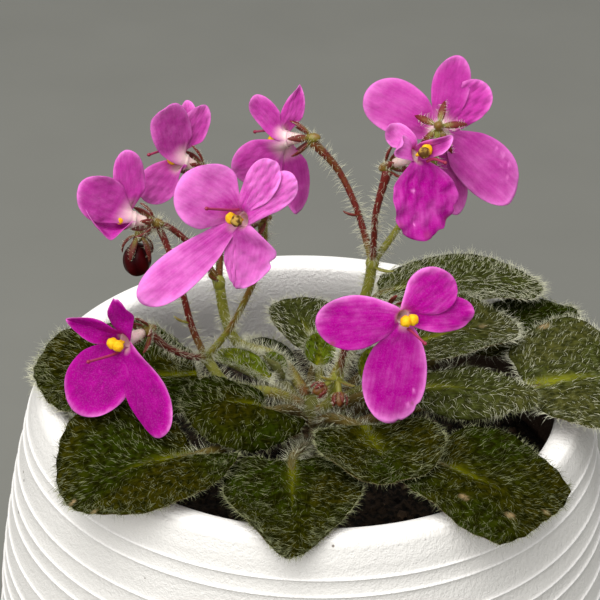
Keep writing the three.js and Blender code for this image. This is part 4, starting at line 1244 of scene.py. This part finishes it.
petal_thickness = 0.28
petal_spread = 0.9
petal_sink = 0.6
petal_root = 1.7
tube_mouth = 1.5
tube_foot = 0.85
tube_hair_girth = 0.035
tube_slot, tube_hair_slot = 1, 2


class Petal(Blade):
    """A petal whose foot wraps its share of the tube's mouth, as far as halfway to the petals
    beside it, and widens out of it like a funnel. Its pale claw stands in for veins."""

    def __init__(self, flower, petal, order):
        self.throat, self.axis, _ = mouth_frame(flower)
        tip = np.array(petal["tip"], float)
        out = tip - self.throat
        self.out = unit(out - self.axis * out.dot(self.axis))
        half = petal.get("width", 0) / 2
        known = ("tip", "width", "halves", "face", "marks", "light", "pale")
        shape = {"wobble": 0.02, "waves": ((3, 0.5, 1.7 * order + self.throat[0]), (5, 0.2, order))}
        shape["crumple"] = 0.07
        shape.update({key: petal[key] for key in petal if key not in known})
        super().__init__(
            foot=self.throat + self.out * petal_spread - self.axis * petal_sink, tip=tip,
            face=petal.get("face", flower["face"]), halves=petal.get("halves", (half, half)),
            thickness=petal_thickness, **shape,
        )
        self.around = np.cross(self.axis, self.out)
        if self.around.dot(self.side) < 0:
            self.around = -self.around
        self.girth = 1.5 + 0.04 * order
        self.wrap = [math.pi, math.pi]
        for other in flower["petals"]:
            if other is not petal:
                way = np.array(other["tip"], float) - self.throat
                turn = math.atan2(way.dot(self.around), way.dot(self.out)) % (2 * math.pi)
                self.wrap[0] = min(self.wrap[0], turn / 2 + 0.15)
                self.wrap[1] = min(self.wrap[1], math.pi - turn / 2 + 0.15)

    def vein(self, u, y):
        claw = self.shape.get("claw", 0.3)
        return np.clip((claw - u) / (claw - 0.04), 0, 1)

    def at(self, a, b):
        free = super().at(a, b)
        turn = (b * np.where(b > 0, self.wrap[0], self.wrap[1]))[:, None]
        rise = ((a + 1) / 2 * self.length)[:, None]
        radial = self.out * np.cos(turn) + self.around * np.sin(turn)
        neck = self.girth - 0.3 * np.sin(np.clip(rise / 1.6, 0, 1) * math.pi) + 0.3 * rise
        funnel = self.throat + self.axis * (0.75 * rise - petal_root) + radial * neck
        share = np.clip((rise - 0.6) / 3.2, 0, 1)
        share = share * share * (3 - 2 * share)
        return free * share + funnel * (1 - share)


petal_flesh, tree, shader = new_material("petal_flesh", 0.6, Specular_IOR_Level=0.03)
claw = layer_value(tree, "vein")
under = layer_value(tree, "under")
sparkle = noise_at(tree, 0.22, 2)
clouded = weighed(tree, strokes_along(tree, (2.5, 11), 3), 0.55, noise_at(tree, 2.6, 4))
uneven = weighed(tree, clouded, 0.75, layer_value(tree, "tone"))
lightness = band(tree, uneven, 0.5, 1.65)
deep = mix_colours(tree, band(tree, uneven, 0.1, 0.6), (0.24, 0.0, 0.16), (0.36, 0.0, 0.24))
inner_colour = mix_colours(tree, lightness, deep, (0.80, 0.22, 0.65))
# Painted glints: fine specks of lighter pink in the colour stand in for the sparkle of the cells.
painted_glints = mix_colours(tree, band(tree, sparkle, 0.45, 0.72, 0, 0.06), inner_colour, (0.85, 0.36, 0.74))
back = mix_colours(tree, band(tree, under, 0, 1, 0, 0.3), painted_glints, (0.60, 0.10, 0.42))
outer_claw = times(tree, band(tree, claw, 0, 0.95), under)
inner_claw = band(tree, claw, 0.65, 1.0, 0, 0.6)
paled = mix_colours(tree, inner_claw, back, (0.86, 0.60, 0.56))
paled = mix_colours(tree, outer_claw, paled, (0.86, 0.62, 0.62))
# Painted shade: the very edge of each petal is darkened towards deep magenta.
rim = band(tree, layer_value(tree, "rim"), 0.95, 1.0, 0, 0.25)
edge_shaded = mix_colours(tree, rim, paled, (0.40, 0.03, 0.28))
paint(tree, shader, mix_colours(tree, layer_value(tree, "mark"), edge_shaded, (0.22, 0.05, 0.03)))
bump(tree, shader, weighed(tree, noise_at(tree, 1.1, 3), 3.0, sparkle), 0.07, 0.6)
let_light_in(shader, 0.2, (1.0, 0.35, 0.8), 0.7)

tube_flesh, shader = toned_skin(
    "tube_flesh", 0.5, 0.15, patches=(1.6, 3), low=((0.72, 0.46, 0.42), (0.88, 0.72, 0.68)),
    high=((0.68, 0.26, 0.44), (0.84, 0.5, 0.62)), relief=(0.25, 2, 0.04, 0.5),
)
let_light_in(shader, 0.3, (1.0, 0.5, 0.7), 0.7)

for number, flower in enumerate(flowers):
    throat, axis, _ = mouth_frame(flower)
    tube_length = math.dist(flower["throat"], flower["calyx"]) - calyx_radius
    bm = plant_mesh()
    outline = []
    for share in np.linspace(0, 1, 12):
        swell = tube_foot + (tube_mouth - tube_foot) * (0.75 * share + 0.25 * share**4)
        outline.append((swell, share * (tube_length - petal_root + 0.2) - tube_length))
    spin_outline(bm, [(0, -tube_length), *outline], 28, 1e-5)
    bmesh.ops.solidify(bm, geom=list(bm.faces), thickness=0.3)
    tone_layer = bm.verts.layers.float["tone"]
    for vert in bm.verts:
        vert[tone_layer] = max(0, 1 + vert.co.z / tube_length * 1.3)
    smooth_faces(bm.faces, tube_slot)
    bmesh.ops.transform(bm, matrix=Matrix.Translation(throat) @ aimed(axis), verts=bm.verts)
    rng = np.random.default_rng(300 + number)
    path = np.array([throat - axis * tube_length * share for share in np.linspace(0.95, 0.3, 8)])
    radii = np.linspace(tube_foot, tube_mouth, 8)
    hairs_on_stalk(bm, path, radii, 22, 1.1, tube_hair_girth, rng, tube_hair_slot)
    for order, petal in enumerate(flower["petals"]):
        # A flower's light value, or a petal's own, lightens its petals from the foot out. This is painted
        # light, for the light that falls on each flower and bounces between its petals.
        light = petal.get("light", flower["light"])
        blade = Petal(flower, petal, order)
        # The margin is lightest towards its pale turn. This is partly the petal's own pale margin and
        # partly painted light shining through its thin edge on that side.
        turn, strength = petal.get("pale", (0.0, 0.95))
        lit_and_pale_tone = lambda u, y, reach: (
            light * np.clip(0.4 + 1.2 * u, 0, 1)
            + strength * reach**4 * (0.55 + 0.45 * np.cos(np.arctan2(y, 2 * u - 1) - turn))
        )
        add_blade(bm, blade, 32, lit_and_pale_tone, petal.get("marks", ()))
    lift_to_lip(bm)
    skins = [petal_flesh, tube_flesh, pale_hair]
    finish_piece("soft_" + flower["name"], bm, skins, flower["name"])

# ---- anthers ------------------------------------------------------------------------------
# Two plump bright yellow sacs of pollen, joined side by side in front of each throat on short
# pale filaments. Old ones turn brown.

anther_radius = 1.1
anther_spread = 0.7
anther_rise = 1.2

anther_skin, tree, shader = new_material("anther_skin", 0.6, Specular_IOR_Level=0.15)
patches = noise_at(tree, 0.9, 3)
grains = noise_at(tree, 0.12, 2)
yellow = mix_colours(tree, band(tree, patches, 0.35, 0.65), (0.80, 0.36, 0.0), (0.88, 0.52, 0.01))
dusty = mix_colours(tree, band(tree, grains, 0.5, 0.7, 0, 0.4), yellow, (0.95, 0.72, 0.08))
brown = mix_colours(tree, band(tree, patches, 0.4, 0.6), (0.05, 0.02, 0.006), (0.42, 0.27, 0.06))
paint(tree, shader, mix_colours(tree, layer_value(tree, "tone"), dusty, brown))
bump(tree, shader, grains, 0.08, 0.6)
let_light_in(shader, 0.2, (1.0, 0.6, 0.1), 0.4)

brown_hands = {"flower_2": 1, "flower_7": -1}
for flower in flowers:
    throat, axis, side = mouth_frame(flower)
    up = np.cross(axis, side)
    brown_hand = brown_hands.get(flower["name"], 0)
    bm = plant_mesh()
    for hand in (-1, 1):
        centre = throat + axis * anther_rise + side * anther_spread * hand
        verts = add_pod(bm, centre, axis, anther_radius * 0.95, anther_radius, 0.0, knob=0.06)
        for vert in verts:
            local = np.array(vert.co) - centre
            groove = math.exp(-((local.dot(side) * hand - 0.35) / 0.16) ** 2)
            pull = 1 - 0.08 * groove * (local.dot(up) < 0.2)
            vert.co = Vector(centre + local * pull)
            if hand * side[0] * brown_hand > 0:
                vert[bm.verts.layers.float["tone"]] = 0.95
    root = throat - axis * 0.9
    for hand in (-1, 1):
        end = throat + axis * (anther_rise - 0.2) + side * 0.55 * hand
        stem = route([root + side * 0.25 * hand, throat + side * 0.4 * hand + axis * 0.1, end], 5)
        add_stalk(bm, stem, np.full(len(stem), 0.3), np.zeros(len(stem)), sides=8)
    lift_to_lip(bm)
    name = flower["name"].replace("flower", "anthers")
    finish_piece("pollen_" + name, bm, [anther_skin], name)

# ---- pistils ------------------------------------------------------------------------------
# One thin wine-red style stands out of each throat past the anthers, with a small round knob,
# the stigma, at its end.

style_radius = 0.3
style_spread = 1.85
style_rise = 0.35
style_neck = 1.6

style_skin, _ = toned_skin(
    "style_skin", 0.4, 0.5, patches=(0.7, 3), low=((0.20, 0.004, 0.03), (0.32, 0.015, 0.06)),
    high=((0.30, 0.02, 0.09), (0.42, 0.05, 0.14)), relief=(0.3, 2, 0.04, 0.5),
)

for flower in flowers:
    throat, axis, side = mouth_frame(flower)
    tip = np.array(flower["style"], float)
    out = np.cross(side, axis)
    if out.dot(tip - throat) < 0:
        out = -out
    start = throat + axis * style_rise + out * style_spread
    knee = start + axis * style_neck
    path = route([start, knee, tip], 10)
    along = np.linspace(0, 1, len(path))
    bm = plant_mesh()
    add_stalk(bm, path, style_radius * (1.05 - 0.3 * along), 0.2 + 0.5 * along, sides=10)
    add_pod(bm, path[-2], path[-1] - path[-3], 0.42, 0.36, 0.0)
    lift_to_lip(bm)
    name = flower["name"].replace("flower", "pistil")
    finish_piece("smooth_" + name, bm, [style_skin], name)

# ---- bud ----------------------------------------------------------------------------------
# One large closed bud hangs between its sepals: its petals are still folded over each other,
# nearly black red and satiny. They are painted darker in the seams between them, as painted
# shade, and lighter on their middles, as a painted sheen.

bud_radius = 2.8
bud_half = 3.4
bud_drop = 5

bud_skin, _ = toned_skin(
    "bud_skin", 0.38, 0.1, patches=(1.4, 4), low=((0.012, 0.0, 0.0005), (0.03, 0.0, 0.001)),
    high=((0.03, 0.0, 0.001), (0.065, 0.0005, 0.002)), relief=(0.35, 3, 0.06, 0.6),
)

bm = plant_mesh()
centre = bud_calyx + bud_axis * bud_drop
made = bmesh.ops.create_uvsphere(bm, u_segments=60, v_segments=36, radius=1)["verts"]
for vert in made:
    around = math.atan2(vert.co.y, vert.co.x) + 0.55 * vert.co.z
    lobes = abs(math.sin(2.5 * around))
    flat = math.hypot(vert.co.x, vert.co.y)
    seam = 0.09 * flat * (1 - lobes) ** 3
    # Painted shade and sheen: the tone is lowest in the seams between the folded petals and highest on
    # their middles.
    vert[bm.verts.layers.float["tone"]] = min(1, lobes**2)
    vert.co.x *= bud_radius * (1 - seam)
    vert.co.y *= bud_radius * (1 - seam)
    vert.co.z *= bud_half
smooth_faces(bm.faces)
bmesh.ops.transform(bm, matrix=Matrix.Translation(centre) @ aimed(bud_axis), verts=bm.verts)
lift_to_lip(bm)
finish_piece("closed_bud", bm, [bud_skin], "bud")
